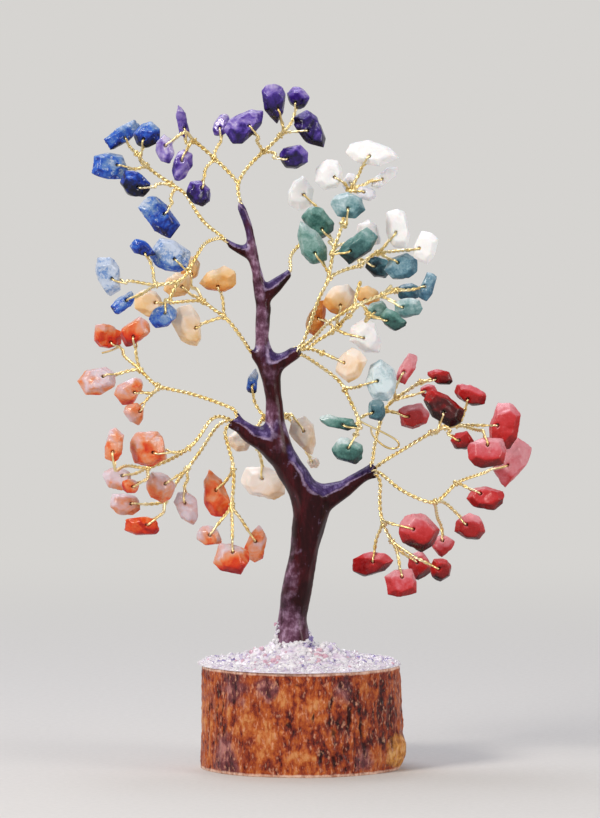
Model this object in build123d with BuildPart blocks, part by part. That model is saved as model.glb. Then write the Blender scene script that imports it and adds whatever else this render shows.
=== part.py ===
# A gemstone tree: drilled stone chips on twisted brass wire, a trunk of dark moulded clay,
# and a slice of log whose top is crusted with crushed stone.
# The origin is the middle of the log's underside, +Z is up, and the tree's face looks along -Y.
from build123d import *
from math import cos, pi, sin
import os

os.makedirs("parts", exist_ok=True)

# The slice of log
log_diameter = 50.0
log_height = 26.0
bark_thickness = 2.4
bark_gap = 0.05

# The crust of crushed stone on the log
crust_mound_height = 4.4
crust_overhang = 0.5
grit_size = 5.4
grit_count = 32

# The clay trunk and its stubs
trunk_height = 115.0
trunk_lean = 15.0
trunk_radius = 5.0
trunk_gap = 0.15
stub_length = 12.0
socket_depth = 2.2

# The bundle of wires in the middle of the trunk
core_radius = 1.5
core_gap = 0.15
core_peg_depth = 12.0

# The wires of the crown
spray_reach = 25.0
spray_depth = 50.0
stem_radius = 0.5
twig_radius = 0.42
strand_radius = 0.22
wire_gap = 0.06
socket_gap = 0.12

# The stone chips
chip_length = 10.0
hole_diameter = 1.2
eye_gap = 0.09

# Proportions of the chips' bodies, loops and holes
sight_fall_share = 0.096
face_share = 0.62
back_share = 0.56
plump_share = 0.52
hole_place_share = 0.34
shoulder_share = 0.8
neck_share = 4.6
elbow_share = 0.35
mitre_share = 1.1
neck_back_share = 1.1
neck_spread_share = 1.3
belly_share = -0.05
swing_shares = (0.16, -0.2, 0.05, -0.12, 0.22)

# How the crystals of the crust are strewn, sized and tipped; turns are in radians
grit_turn = 2.4
grit_start_share = 0.1
grit_inset_share = 0.3
grit_swing_share = 0.25
grit_size_turn = 1.7
grit_tip_share = 0.4
grit_tip_turn = 2.1

# Sides of the faceted tubes and rings
stem_sides = 4
twig_sides = 4
strand_sides = 3
hole_sides = 4
socket_sides = 8
stub_sides = 8
core_sides = 8

# A wire's mouth is tried this often along the way, and looked at in this many directions
mouth_tries = 2
mouth_directions = 6


# Bark: the radius of each side as a share of the log's radius, at the foot, waist and rim
bark_foot_shares = (1.0, 1.02, 0.99, 0.98, 1.0, 1.01, 0.985, 1.0, 1.015, 0.99, 0.98, 1.0,
                    1.01, 1.0, 0.985, 1.0, 1.01, 0.99, 1.0, 1.02, 1.0, 0.99, 1.01, 1.03)
bark_waist_shares = (1.04, 1.03, 1.0, 0.975, 0.99, 1.0, 0.97, 0.985, 1.0, 0.98, 0.97, 0.985,
                     0.995, 0.99, 0.97, 0.99, 1.0, 0.975, 0.985, 1.01, 0.99, 0.98, 1.02, 1.05)
bark_rim_shares = (1.0, 1.0, 0.98, 0.99, 1.0, 0.99, 0.98, 1.0, 1.0, 0.985, 0.99, 1.0,
                   0.99, 1.0, 0.98, 0.995, 1.0, 0.98, 0.99, 1.0, 1.0, 0.99, 1.0, 1.01)
bark_waist_height_share = 0.42

# Crust: the mound's rings as (radius, height), shares of the log's radius and of the mound
mound_shares = ((1.0, 0.0), (1.0, 0.3), (0.93, 0.4), (0.62, 0.6), (0.36, 0.8), (0.27, 1.0))
mound_outline_shares = (1.0, 0.98, 1.01, 0.985, 1.0, 0.99, 1.015, 0.98, 1.0, 0.99,
                        1.01, 1.0, 0.98, 1.0, 0.99, 1.01, 0.985, 1.0, 0.99, 1.01)
grit_outline_shares = ((1, -0.1), (0.5, 0.7), (-0.4, 0.8), (-1, 0.1), (-0.5, -0.8), (0.5, -0.8))
grit_ring_shares = ((0.8, -0.35), (1, 0.1), (0.45, 0.75))

# Trunk: its flutes, then its rings as (height, lean, sway, radius), shares of the trunk's sizes
flute_shares = (1.0, 0.93, 1.03, 0.9, 1.0, 0.95, 1.04, 0.92, 1.0, 0.94, 1.02, 0.9)
trunk_shares = (
    (0.0, -0.1, 0.0, 1.08), (0.035, -0.1, 0.0, 1.0), (0.055, -0.1, 0.0, 0.9),
    (0.1, -0.12, 0.02, 0.74), (0.163, -0.053, 0.05, 0.8), (0.244, 0.067, 0.06, 0.78),
    (0.325, 0.193, 0.04, 0.9), (0.367, 0.2, 0.02, 1.1), (0.406, -0.05, 0.0, 0.86),
    (0.448, -0.267, -0.02, 0.8), (0.487, -0.32, -0.03, 0.6), (0.529, -0.4, -0.03, 0.53),
    (0.568, -0.413, -0.02, 0.48), (0.61, -0.45, 0.0, 0.52), (0.649, -0.507, 0.02, 0.58),
    (0.683, -0.6, 0.03, 0.46), (0.712, -0.627, 0.04, 0.36), (0.753, -0.62, 0.05, 0.4),
    (0.775, -0.607, 0.05, 0.42), (0.812, -0.667, 0.04, 0.34), (0.85, -0.707, 0.02, 0.28),
    (0.884, -0.78, 0.01, 0.3), (0.922, -0.813, 0.0, 0.26), (0.957, -0.867, 0.0, 0.27),
    (1.0, -0.98, 0.0, 0.23),
)
core_top_share = 0.367

# Stubs: where each leaves the trunk (share of its height), then its rings from the root to the
# tip as (right, deep, up, radius), shares of stub_length from the root and of trunk_radius
stub_shares = {
    "left_main": (0.455, (
        (0.0, 0.0, 0.0, 0.8), (-0.38, -0.03, 0.34, 0.7), (-0.7, -0.06, 0.46, 0.5),
        (-1.02, -0.1, 0.73, 0.36),
    )),
    "right_main": (0.352, (
        (0.0, 0.0, 0.0, 0.86), (0.38, 0.0, 0.17, 0.7), (0.69, 0.0, 0.31, 0.48),
        (0.93, 0.0, 0.47, 0.4), (1.26, 0.0, 0.67, 0.36),
    )),
    "right_mid": (0.64, (
        (0.0, 0.0, 0.0, 0.54), (0.15, 0.0, 0.15, 0.49), (0.33, 0.0, 0.25, 0.43),
        (0.52, 0.0, 0.39, 0.37),
    )),
    "left_mid": (0.655, (
        (0.0, 0.0, 0.0, 0.44), (-0.17, -0.02, 0.1, 0.34), (-0.33, -0.04, 0.21, 0.22),
    )),
    "right_upper": (0.8, (
        (0.0, 0.0, 0.0, 0.38), (0.15, 0.03, 0.1, 0.42), (0.31, 0.06, 0.23, 0.39),
        (0.46, 0.09, 0.37, 0.31), (0.6, 0.12, 0.5, 0.22),
    )),
    "left_upper": (0.89, (
        (0.0, 0.0, 0.0, 0.3), (-0.16, 0.0, 0.09, 0.32), (-0.33, 0.0, 0.16, 0.27),
        (-0.5, 0.0, 0.25, 0.21),
    )),
    "rear": (0.525, (
        (0.0, 0.0, 0.0, 0.5), (0.0, 0.24, 0.06, 0.38), (0.0, 0.44, 0.2, 0.28),
    )),
}

# Where each stub's tip stands in the crown, as shares of spray_reach and spray_depth, counted
# as the places of the sprays are; the last value is the number of sprays that grow from it
tip_shares = {
    "top": ((-0.59, 0.0, 5.62), 1),
    "left_upper": ((-0.71, 0.0, 5.23), 1),
    "right_upper": ((-0.1, 0.03, 4.94), 1),
    "left_mid": ((-0.46, -0.01, 4.12), 1),
    "right_mid": ((-0.05, 0.0, 4.15), 4),
    "left_main": ((-0.66, -0.03, 3.46), 4),
    "right_main": ((0.72, 0.0, 2.97), 4),
    "rear": ((-0.24, 0.11, 3.54), 2),
}

# Outlines of the chips, pointed ends first, as shares of half the length and half the width
cut_shares = {
    "block": ((1, -0.35), (0.88, 0.72), (-0.1, 1), (-0.86, 0.78), (-1, -0.5),
              (-0.4, -1), (0.7, -0.95)),
    "wedge": ((1, 0.05), (0.62, 0.62), (-0.35, 1), (-0.92, 0.66), (-1, -0.45),
              (-0.5, -1), (0.5, -0.66)),
    "drop": ((1, 0.0), (0.55, 0.62), (-0.25, 1), (-0.85, 0.68), (-1, -0.2),
             (-0.62, -0.86), (0.3, -0.84)),
    "round": ((1, -0.1), (0.72, 0.72), (-0.1, 1), (-0.82, 0.62), (-1, -0.25),
              (-0.45, -0.94), (0.5, -0.9)),
    "shard": ((1, 0.1), (0.4, 0.9), (-0.6, 0.8), (-1, -0.1),
              (-0.7, -0.9), (0.5, -0.8)),
    "slab": ((1, -0.5), (0.95, 0.75), (-0.15, 1), (-0.95, 0.8),
             (-1, -0.7), (0.3, -1)),
    "nugget": ((1, -0.05), (0.66, 0.84), (-0.3, 1), (-0.95, 0.4), (-0.8, -0.62),
               (-0.05, -1), (0.74, -0.78)),
}

# The sprays. Places are numbered, with place 0 at the stub's tip: how far right, how deep into
# the crown and how high, as shares of spray_reach, spray_depth and spray_reach. Stems run
# through places. Each chip has its stone, cut, place, length and width (shares of chip_length),
# turn and tilt in degrees, and the places that its twig runs through.
spray_shares = {
    "crest": {
        "stub": "top",
        "slot": 0,
        "places": {
            1: (-0.64, 0.0, 5.84), 2: (-0.49, 0.02, 6.05), 3: (-0.36, 0.04, 6.16),
            4: (-0.18, 0.06, 6.34), 5: (-0.86, 0.04, 6.1), 6: (-1.08, 0.08, 6.29),
            7: (-0.45, -0.04, 6.27), 8: (-0.22, -0.06, 6.13), 9: (-0.96, -0.06, 5.97),
            10: (-0.81, 0.12, 6.26),
        },
        "stems": ((0, 1, 2, 3, 4), (1, 5, 6)),
        "chips": (
            ("amethyst", "drop", (-0.26, -0.08, 6.64), (1.08, 0.62), -80, 14, (4,)),
            ("amethyst", "round", (-0.02, 0.16, 6.71), (0.62, 0.55), -30, -18, (4,)),
            ("amethyst", "wedge", (0.11, 0.02, 6.36), (1.05, 0.68), -55, 20, (4,)),
            ("amethyst", "nugget", (-0.07, -0.14, 6.09), (0.75, 0.62), 20, -12, (3, 8)),
            ("amethyst", "wedge", (-0.54, -0.12, 6.41), (1.08, 0.75), 40, 16, (3, 7)),
            ("amethyst", "round", (-0.79, 0.18, 6.44), (0.65, 0.43), 65, 24, (5, 10)),
            ("amethyst", "shard", (-1.18, 0.16, 6.47), (0.92, 0.32), 104, -20, (6,)),
            ("amethyst", "round", (-1.35, -0.16, 6.18), (0.8, 0.5), 100, 22, (6,)),
            ("amethyst", "drop", (-1.19, 0.04, 6.01), (0.85, 0.55), -105, -15, (6,)),
            ("amethyst", "nugget", (-1.01, -0.14, 5.73), (0.68, 0.6), -30, 18, (5, 9)),
        ),
    },
    "lapis": {
        "stub": "left_upper",
        "slot": 0,
        "places": {
            1: (-0.78, 0.0, 5.31), 2: (-0.94, 0.06, 5.42), 3: (-1.06, 0.12, 5.59),
            4: (-1.14, 0.16, 5.75), 5: (-1.27, 0.2, 5.83), 6: (-1.54, 0.28, 6.02),
            7: (-1.65, 0.32, 6.18), 8: (-0.94, -0.16, 5.24), 9: (-1.0, -0.24, 5.14),
            10: (-1.11, -0.32, 4.94), 11: (-1.16, -0.32, 4.83), 12: (-1.45, -0.32, 4.79),
            14: (-1.31, -0.28, 4.62), 15: (-1.31, 0.12, 5.67), 16: (-1.47, 0.18, 5.85),
            18: (-1.75, -0.38, 4.85),
        },
        "stems": ((0, 1, 2, 3, 4, 5, 6, 7), (1, 8, 9, 10, 11, 12), (11, 14)),
        "chips": (
            ("lapis", "slab", (-1.78, 0.4, 6.36), (0.95, 0.45), 32, -15, (7,)),
            ("lapis", "round", (-1.53, 0.12, 6.33), (0.72, 0.65), 30, 12, (6,)),
            ("lapis", "block", (-1.9, 0.34, 6.04), (0.92, 0.68), 2, 18, (6,)),
            ("lapis", "nugget", (-1.65, 0.14, 5.83), (0.85, 0.65), -35, -20, (5, 16)),
            ("lapis", "slab", (-1.4, 0.02, 5.5), (1.15, 0.65), -45, 14, (5, 15)),
            ("lapis", "wedge", (-1.55, -0.24, 5.16), (0.68, 0.43), -30, -22, (12,)),
            ("lapis", "block", (-1.29, -0.16, 5.1), (0.98, 0.75), -25, 10, (10,)),
            ("lapis", "block", (-1.89, -0.42, 4.88), (0.95, 0.62), -75, -16, (12, 18)),
            ("lapis", "slab", (-1.76, -0.24, 4.62), (0.72, 0.38), 38, 20, (12,)),
            ("lapis", "nugget", (-1.36, -0.22, 4.49), (0.75, 0.55), 25, -14, (14,)),
        ),
    },
    "cream_left": {
        "stub": "left_mid",
        "slot": 0,
        "places": {
            1: (-0.54, -0.06, 4.24), 2: (-0.72, -0.08, 4.48), 3: (-0.84, -0.06, 4.55),
            4: (-0.97, 0.0, 4.66), 5: (-1.23, 0.06, 4.64), 6: (-0.75, -0.1, 4.62),
            7: (-1.07, 0.02, 4.72), 8: (-1.02, 0.14, 4.79),
        },
        "stems": ((0, 1, 2, 3, 4),),
        "chips": (
            ("cream", "wedge", (-0.81, -0.12, 4.85), (0.92, 0.68), 190, 16, (2, 6)),
            ("cream", "round", (-1.09, 0.24, 4.99), (0.7, 0.5), 80, -18, (4, 8)),
            ("cream", "block", (-1.21, 0.06, 4.82), (0.68, 0.6), 0, 12, (4, 7)),
            ("cream", "nugget", (-1.5, 0.08, 4.63), (0.78, 0.68), 150, -14, (4, 5)),
            ("cream", "wedge", (-1.1, -0.12, 4.37), (1.15, 0.75), -70, 20, (2,)),
        ),
    },
    "carnelian_upper": {
        "stub": "left_main",
        "slot": 1,
        "places": {
            1: (-0.63, -0.02, 3.57), 2: (-0.81, 0.0, 3.64), 3: (-1.06, 0.04, 3.73),
            4: (-1.33, 0.08, 3.79), 5: (-1.46, 0.12, 3.82), 6: (-1.62, 0.2, 4.0),
            7: (-1.8, 0.3, 4.14),
        },
        "stems": ((0, 1, 2, 3, 4, 5, 6),),
        "chips": (
            ("carnelian", "nugget", (-1.95, 0.36, 4.33), (0.8, 0.65), -30, -16, (6, 7)),
            ("carnelian", "block", (-1.66, 0.18, 4.37), (0.82, 0.62), 35, 14, (6,)),
            ("carnelian", "nugget", (-2.04, 0.18, 3.88), (0.95, 0.75), 20, 20, (6,)),
            ("carnelian", "wedge", (-1.7, -0.04, 3.77), (0.85, 0.6), 45, -12, (5,)),
            ("carnelian", "wedge", (-1.66, 0.14, 3.54), (0.62, 0.55), -70, 22, (4,)),
        ),
    },
    "carnelian_left": {
        "stub": "left_main",
        "slot": 0,
        "places": {
            1: (-0.87, -0.12, 3.53), 2: (-1.01, -0.2, 3.29), 3: (-1.11, -0.24, 3.17),
            4: (-1.33, -0.14, 3.05), 5: (-1.55, -0.12, 2.98), 7: (-1.75, -0.26, 3.02),
        },
        "stems": ((0, 1, 2, 3, 4, 5),),
        "chips": (
            ("carnelian", "block", (-1.85, -0.4, 3.2), (0.9, 0.45), 85, 18, (5, 7)),
            ("carnelian", "nugget", (-1.52, -0.3, 3.17), (1.05, 0.9), 15, -10, (3,)),
            ("carnelian", "round", (-1.83, -0.06, 2.89), (0.75, 0.6), -15, 16, (5,)),
            ("carnelian", "round", (-1.69, -0.26, 2.8), (0.48, 0.4), 0, -20, (5,)),
        ),
    },
    "carnelian_lower": {
        "stub": "left_main",
        "slot": 2,
        "places": {
            1: (-0.83, 0.04, 3.44), 2: (-0.98, 0.08, 3.19), 3: (-1.13, 0.08, 2.99),
            4: (-1.23, 0.08, 2.87), 5: (-1.37, 0.08, 2.64), 6: (-1.12, 0.0, 2.86),
        },
        "stems": ((0, 1, 2, 3, 4, 5),),
        "chips": (
            ("carnelian", "block", (-1.76, 0.1, 2.63), (0.78, 0.55), -5, 12, (5,)),
            ("carnelian", "block", (-1.57, -0.06, 2.41), (0.95, 0.5), 5, -18, (5,)),
            ("carnelian", "nugget", (-1.4, -0.12, 2.8), (0.8, 0.68), -40, 14, (3,)),
            ("carnelian", "drop", (-1.13, -0.08, 2.58), (0.92, 0.6), -65, -16, (3, 6)),
        ),
    },
    "carnelian_hanging": {
        "stub": "left_main",
        "slot": 3,
        "places": {
            1: (-0.77, -0.05, 3.37), 2: (-0.72, -0.1, 3.2), 3: (-0.66, -0.14, 2.99),
            4: (-0.67, -0.16, 2.75), 5: (-0.69, -0.16, 2.59), 6: (-0.6, -0.12, 2.49),
        },
        "stems": ((0, 1, 2, 3, 4, 5),),
        "chips": (
            ("carnelian", "wedge", (-0.85, -0.08, 2.73), (1.2, 0.68), 105, 15, (3,)),
            ("carnelian", "nugget", (-0.91, -0.22, 2.3), (0.7, 0.55), -15, -18, (5,)),
            ("carnelian", "block", (-0.68, -0.3, 2.08), (0.85, 0.75), -10, 12, (5,)),
            ("carnelian", "drop", (-0.44, -0.06, 2.23), (1.05, 0.55), 80, -14, (5, 6)),
        ),
    },
    "rear_left": {
        "stub": "rear",
        "slot": 1.5,
        "places": {
            1: (-0.36, 0.24, 3.5), 2: (-0.45, 0.26, 3.4), 3: (-0.42, 0.3, 3.16),
            4: (-0.46, 0.24, 3.64),
        },
        "stems": ((0, 1, 2, 3),),
        "chips": (
            ("cream", "round", (-0.61, 0.16, 3.26), (0.62, 0.58), 10, 14, (2,)),
            ("cream", "round", (-0.36, 0.34, 2.84), (1.28, 0.8), -12, -10, (3,)),
            ("lapis", "shard", (-0.48, 0.24, 3.86), (0.72, 0.32), 80, 16, (1, 4)),
        ),
    },
    "rear_right": {
        "stub": "rear",
        "slot": 0.5,
        "places": {
            1: (-0.12, 0.24, 3.5), 2: (0.0, 0.34, 3.36),
        },
        "stems": ((0, 1, 2),),
        "chips": (
            ("cream", "wedge", (0.04, 0.18, 3.3), (1.0, 0.65), -65, 18, (1,)),
            ("cream", "round", (0.13, 0.28, 3.04), (0.38, 0.32), 0, -16, (2,)),
        ),
    },
    "quartz_rear": {
        "stub": "right_upper",
        "slot": 0,
        "places": {
            1: (-0.11, 0.12, 5.11), 2: (-0.03, 0.22, 5.21), 3: (0.25, 0.26, 5.53),
            4: (0.17, 0.27, 5.62),
        },
        "stems": ((0, 1, 2, 3),),
        "chips": (
            ("quartz", "drop", (0.01, 0.26, 5.77), (0.9, 0.7), 80, 12, (3, 4)),
        ),
    },
    "green_upper": {
        "stub": "right_mid",
        "slot": 3,
        "places": {
            1: (0.01, 0.0, 4.2), 2: (0.08, -0.04, 4.37), 3: (0.18, -0.12, 4.67),
            4: (0.24, -0.14, 4.78), 5: (0.28, -0.14, 4.86), 6: (0.32, -0.12, 5.1),
            7: (0.33, -0.1, 5.18), 8: (0.43, -0.04, 5.43), 9: (0.45, -0.02, 5.72),
            10: (0.5, -0.02, 5.78), 11: (0.49, -0.06, 4.99), 12: (0.6, -0.04, 5.0),
            13: (0.71, -0.04, 5.12), 14: (0.79, -0.06, 5.14),
            16: (0.27, 0.02, 5.26), 17: (0.53, 0.02, 5.25), 18: (0.62, -0.02, 5.98),
            19: (0.68, 0.06, 5.84), 20: (0.42, 0.0, 5.85),
            22: (1.1, -0.18, 5.16),
        },
        "stems": ((0, 1, 2, 3, 4, 5, 6, 7, 8, 9, 10), (5, 11, 12, 13, 14)),
        "chips": (
            ("green", "nugget", (0.18, 0.1, 5.46), (0.95, 0.68), -45, -14, (7, 16)),
            ("green", "drop", (0.11, -0.1, 5.23), (1.25, 0.68), 115, 12, (5,)),
            ("green", "round", (0.47, -0.2, 5.6), (0.88, 0.65), -10, 14, (8,)),
            ("green", "slab", (0.57, -0.17, 5.19), (1.05, 0.6), 42, -16, (7,)),
            ("green", "nugget", (1.01, -0.08, 4.99), (0.9, 0.65), 30, 18, (14,)),
            ("green", "nugget", (0.78, 0.12, 5.01), (0.7, 0.55), -20, -12, (12,)),
            ("quartz", "drop", (0.73, -0.04, 6.13), (1.35, 0.65), -10, 14, (10, 18)),
            ("quartz", "round", (0.29, -0.08, 5.92), (0.78, 0.7), 60, -12, (10, 20)),
            ("quartz", "round", (0.49, 0.14, 5.87), (0.48, 0.35), 60, 10, (10,)),
            ("quartz", "shard", (0.85, 0.12, 5.91), (0.9, 0.38), 30, -18, (10, 19)),
            ("quartz", "round", (0.66, -0.09, 5.73), (0.52, 0.38), -15, 20, (9,)),
            ("quartz", "wedge", (0.7, 0.06, 5.33), (0.75, 0.55), -60, 16, (7, 17)),
            ("quartz", "block", (0.97, -0.04, 5.38), (1.0, 0.58), 100, -14, (14,)),
            ("quartz", "block", (1.24, -0.26, 5.18), (0.78, 0.58), 75, 18, (14, 22)),
        ),
    },
    "green_lower": {
        "stub": "right_mid",
        "slot": 0,
        "places": {
            1: (0.14, -0.08, 4.28), 2: (0.26, -0.2, 4.42), 3: (0.38, -0.26, 4.49),
            4: (0.51, -0.28, 4.58), 5: (0.61, -0.26, 4.62), 6: (0.78, -0.2, 4.7),
            7: (0.68, -0.22, 4.5), 8: (0.98, -0.16, 4.76), 9: (0.55, -0.24, 4.7),
            10: (0.6, -0.24, 4.84),
            13: (0.92, 0.02, 4.82),
        },
        "stems": ((0, 1, 2, 3, 4, 5, 6, 8), (5, 7), (4, 9, 10)),
        "chips": (
            ("green", "block", (1.27, -0.12, 4.8), (0.75, 0.35), 75, 16, (8,)),
            ("green", "block", (1.07, -0.2, 4.58), (0.7, 0.5), 15, -14, (6,)),
            ("green", "nugget", (0.77, -0.12, 4.56), (0.6, 0.45), 20, 12, (7,)),
            ("green", "block", (0.92, -0.26, 4.45), (0.7, 0.45), -30, -18, (7,)),
            ("green", "nugget", (1.08, 0.1, 4.76), (0.65, 0.45), 10, 14, (6, 13)),
        ),
    },
    "cream_centre": {
        "stub": "right_mid",
        "slot": 2,
        "places": {
            1: (0.16, 0.1, 4.27), 2: (0.26, 0.12, 4.32), 3: (0.33, 0.1, 4.37),
            4: (0.5, 0.0, 4.53), 5: (0.09, 0.04, 4.19), 6: (0.24, -0.03, 4.13),
            7: (0.36, 0.05, 4.47),
        },
        "stems": ((0, 5, 1, 2, 3, 4), (5, 6)),
        "chips": (
            ("cream", "round", (0.39, 0.0, 4.68), (0.9, 0.7), 20, -12, (3, 7)),
            ("cream", "wedge", (0.17, 0.22, 4.52), (0.95, 0.5), 65, 16, (3,)),
            ("cream", "nugget", (0.67, -0.03, 4.71), (0.65, 0.5), -20, -14, (4,)),
            ("cream", "block", (0.5, -0.1, 4.02), (0.82, 0.68), 60, 18, (6,)),
            ("quartz", "wedge", (0.67, 0.05, 4.29), (0.95, 0.75), -50, 12, (3,)),
        ),
    },
    "teal": {
        "stub": "right_mid",
        "slot": 1,
        "places": {
            1: (0.04, 0.06, 4.12), 2: (0.19, 0.1, 4.02), 3: (0.36, 0.12, 3.9),
            4: (0.43, 0.08, 3.81), 5: (0.47, 0.04, 3.72), 6: (0.6, 0.0, 3.46),
            7: (0.55, -0.06, 3.3), 8: (0.6, -0.01, 3.8), 9: (0.8, 0.02, 3.36),
            10: (1.0, 0.0, 3.25), 11: (0.98, 0.05, 3.18), 12: (0.86, 0.06, 3.18),
            13: (0.7, 0.03, 3.33),
        },
        "stems": ((0, 1, 2, 3, 4, 5, 6, 7),),
        "bare_loop": (6, 9, 10, 11, 12, 13),
        "chips": (
            ("green", "round", (0.81, -0.08, 3.86), (1.02, 0.8), 95, -10, (4, 8)),
            ("green", "block", (0.76, 0.07, 3.57), (0.58, 0.45), 90, 12, (6,)),
            ("green", "shard", (0.36, -0.1, 3.44), (1.05, 0.38), 168, 16, (6,)),
            ("green", "block", (0.47, -0.14, 3.16), (0.82, 0.6), -15, -14, (7,)),
        ),
    },
    "jasper_upper": {
        "stub": "right_main",
        "slot": 3,
        "places": {
            1: (0.74, 0.08, 3.24), 2: (0.84, 0.17, 3.6), 3: (0.95, 0.17, 3.7),
            4: (1.23, 0.1, 3.88),
        },
        "stems": ((0, 1, 2, 3, 4),),
        "chips": (
            ("jasper", "slab", (1.07, 0.06, 4.0), (0.78, 0.38), 65, 14, (3,)),
            ("jasper", "nugget", (1.4, 0.04, 3.91), (0.7, 0.4), -5, -18, (4,)),
            ("jasper", "nugget", (1.28, 0.26, 3.78), (0.5, 0.38), 0, 10, (3,)),
            ("jasper", "block", (1.14, 0.14, 3.53), (0.75, 0.65), 20, -14, (2,)),
        ),
    },
    "jasper_right": {
        "stub": "right_main",
        "slot": 2,
        "places": {
            1: (0.84, -0.02, 3.07), 2: (1.04, 0.06, 3.19), 3: (1.3, 0.1, 3.35),
            4: (1.43, 0.1, 3.41), 5: (1.6, 0.1, 3.43), 6: (1.79, -0.1, 3.36),
            7: (1.52, 0.02, 3.37),
        },
        "stems": ((0, 1, 2, 3, 4, 5),),
        "chips": (
            ("jasper", "block", (1.42, -0.05, 3.6), (1.15, 0.65), -30, 12, (3,)),
            ("jasper", "slab", (1.7, 0.04, 3.73), (0.8, 0.5), -15, -16, (5,)),
            ("jasper", "block", (2.04, 0.0, 3.42), (1.2, 0.72), 80, 14, (5,)),
            ("jasper", "nugget", (1.62, -0.06, 3.27), (0.6, 0.5), 20, -12, (4, 7)),
            ("jasper", "block", (1.86, -0.22, 3.15), (1.0, 0.75), 10, 16, (5, 6)),
        ),
    },
    "jasper_lower": {
        "stub": "right_main",
        "slot": 0,
        "places": {
            1: (0.82, -0.08, 2.93), 2: (0.98, -0.12, 2.78), 3: (1.18, -0.16, 2.68),
            4: (1.34, -0.16, 2.63), 5: (1.44, -0.12, 2.72), 6: (1.57, -0.08, 2.86),
            7: (1.9, 0.12, 2.97), 8: (1.37, 0.02, 2.49),
        },
        "stems": ((0, 1, 2, 3, 4, 5, 6),),
        "chips": (
            ("jasper", "slab", (2.13, 0.18, 3.06), (1.15, 0.7), 50, -14, (6, 7)),
            ("jasper", "round", (1.86, -0.1, 2.69), (1.0, 0.6), -10, 18, (6,)),
            ("jasper", "nugget", (1.7, 0.1, 2.41), (0.8, 0.68), -15, -12, (4,)),
            ("jasper", "wedge", (1.44, 0.1, 2.23), (0.62, 0.55), 20, 14, (4, 8)),
        ),
    },
    "jasper_bottom": {
        "stub": "right_main",
        "slot": 1,
        "places": {
            1: (0.81, 0.0, 2.86), 2: (0.79, 0.0, 2.7), 3: (0.81, 0.0, 2.45),
            4: (0.93, 0.0, 2.24), 5: (0.76, 0.04, 2.3),
        },
        "stems": ((0, 1, 2, 3, 4),),
        "chips": (
            ("jasper", "block", (1.18, -0.12, 2.36), (1.0, 0.85), -30, 10, (3,)),
            ("jasper", "wedge", (0.73, 0.08, 2.04), (1.05, 0.68), 10, -16, (3, 5)),
            ("jasper", "block", (1.2, 0.12, 2.02), (0.7, 0.55), -60, 14, (4,)),
            ("jasper", "round", (1.4, -0.1, 1.98), (0.62, 0.58), 80, -18, (4,)),
            ("jasper", "block", (1.01, -0.16, 1.84), (0.8, 0.7), 20, 12, (4,)),
        ),
    },
}


def facet_rings(rings):
    """A closed solid through rings of like points, with flat ends and flat facets between."""
    facets = [Face(Wire.make_polygon(rings[0])), Face(Wire.make_polygon(rings[-1]))]
    for low, high in zip(rings, rings[1:]):
        for k in range(len(low)):
            corners = (low[k - 1], low[k], high[k], high[k - 1])
            facets.append(Face(Wire.make_polygon(corners)))
    return Solid(Shell(facets))


def split_rings(rings):
    """As facet_rings, for rings of unlike shape: each side is parted into two triangles."""
    facets = [Face(Wire.make_polygon(rings[0])), Face(Wire.make_polygon(rings[-1]))]
    for low, high in zip(rings, rings[1:]):
        for k in range(len(low)):
            facets.append(Face(Wire.make_polygon((low[k - 1], low[k], high[k]))))
            facets.append(Face(Wire.make_polygon((low[k - 1], high[k], high[k - 1]))))
    return Solid(Shell(facets))


def star(radius_shares, radius, centre):
    """A level ring about a centre, each corner at its share of the radius."""
    turn = 2 * pi / len(radius_shares)
    return [
        centre + Vector(cos(k * turn), sin(k * turn)) * radius * share
        for k, share in enumerate(radius_shares)
    ]


def trunk_ring(height, lean, sway, radius):
    """The middle and the radius of one ring of the trunk."""
    middle = Vector(lean * trunk_lean, sway * trunk_lean, log_height + height * trunk_height)
    return middle, radius * trunk_radius


def trunk_middle(height):
    """The middle of the trunk at a share of its height."""
    for low, high in zip(trunk_shares, trunk_shares[1:]):
        if low[0] <= height <= high[0]:
            part = (height - low[0]) / (high[0] - low[0])
            return trunk_ring(*low)[0] * (1 - part) + trunk_ring(*high)[0] * part


def run_tube(points, radius, sides):
    """A faceted tube along straight runs with mitred corners."""
    with BuildLine() as route:
        Polyline(*points)
    with BuildSketch(Plane(origin=points[0], z_dir=points[1] - points[0])) as section:
        RegularPolygon(radius=radius, side_count=sides)
    return sweep(section.sketch, route.line, transition=Transition.RIGHT, mode=Mode.PRIVATE)


def stub_rings(name):
    """The middles and the radii of a stub's rings, from its root to its tip."""
    if name == "top":
        return [trunk_ring(*ring) for ring in trunk_shares[-2:]]
    height, rings = stub_shares[name]
    root = trunk_middle(height)
    return [
        (root + Vector(right, deep, up) * stub_length, radius * trunk_radius)
        for right, deep, up, radius in rings
    ]


def stub_tip(name):
    """The tip of a stub and the way that it points."""
    below, tip = (middle for middle, radius in stub_rings(name)[-2:])
    return tip, (tip - below).normalized()


def socket_circle(name):
    """How far from the middle of a stub's socket its stems stand, and the socket's radius."""
    count = tip_shares[name][1]
    spread = 0 if count == 1 else (stem_radius + socket_gap) / sin(pi / count)
    return spread, spread + stem_radius + socket_gap


def crown_place(share):
    """A place in the crown. It was judged by eye from a little above, so it falls with depth."""
    across, depth, up = share
    deep = depth * spray_depth
    return Vector(across * spray_reach, deep, up * spray_reach - sight_fall_share * deep)


def distance_to_run(point, start, end):
    """The distance from a point to a straight run."""
    way = end - start
    part = max(0, min(1, (point - start).dot(way) / way.dot(way)))
    return (start + way * part - point).length


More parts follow.
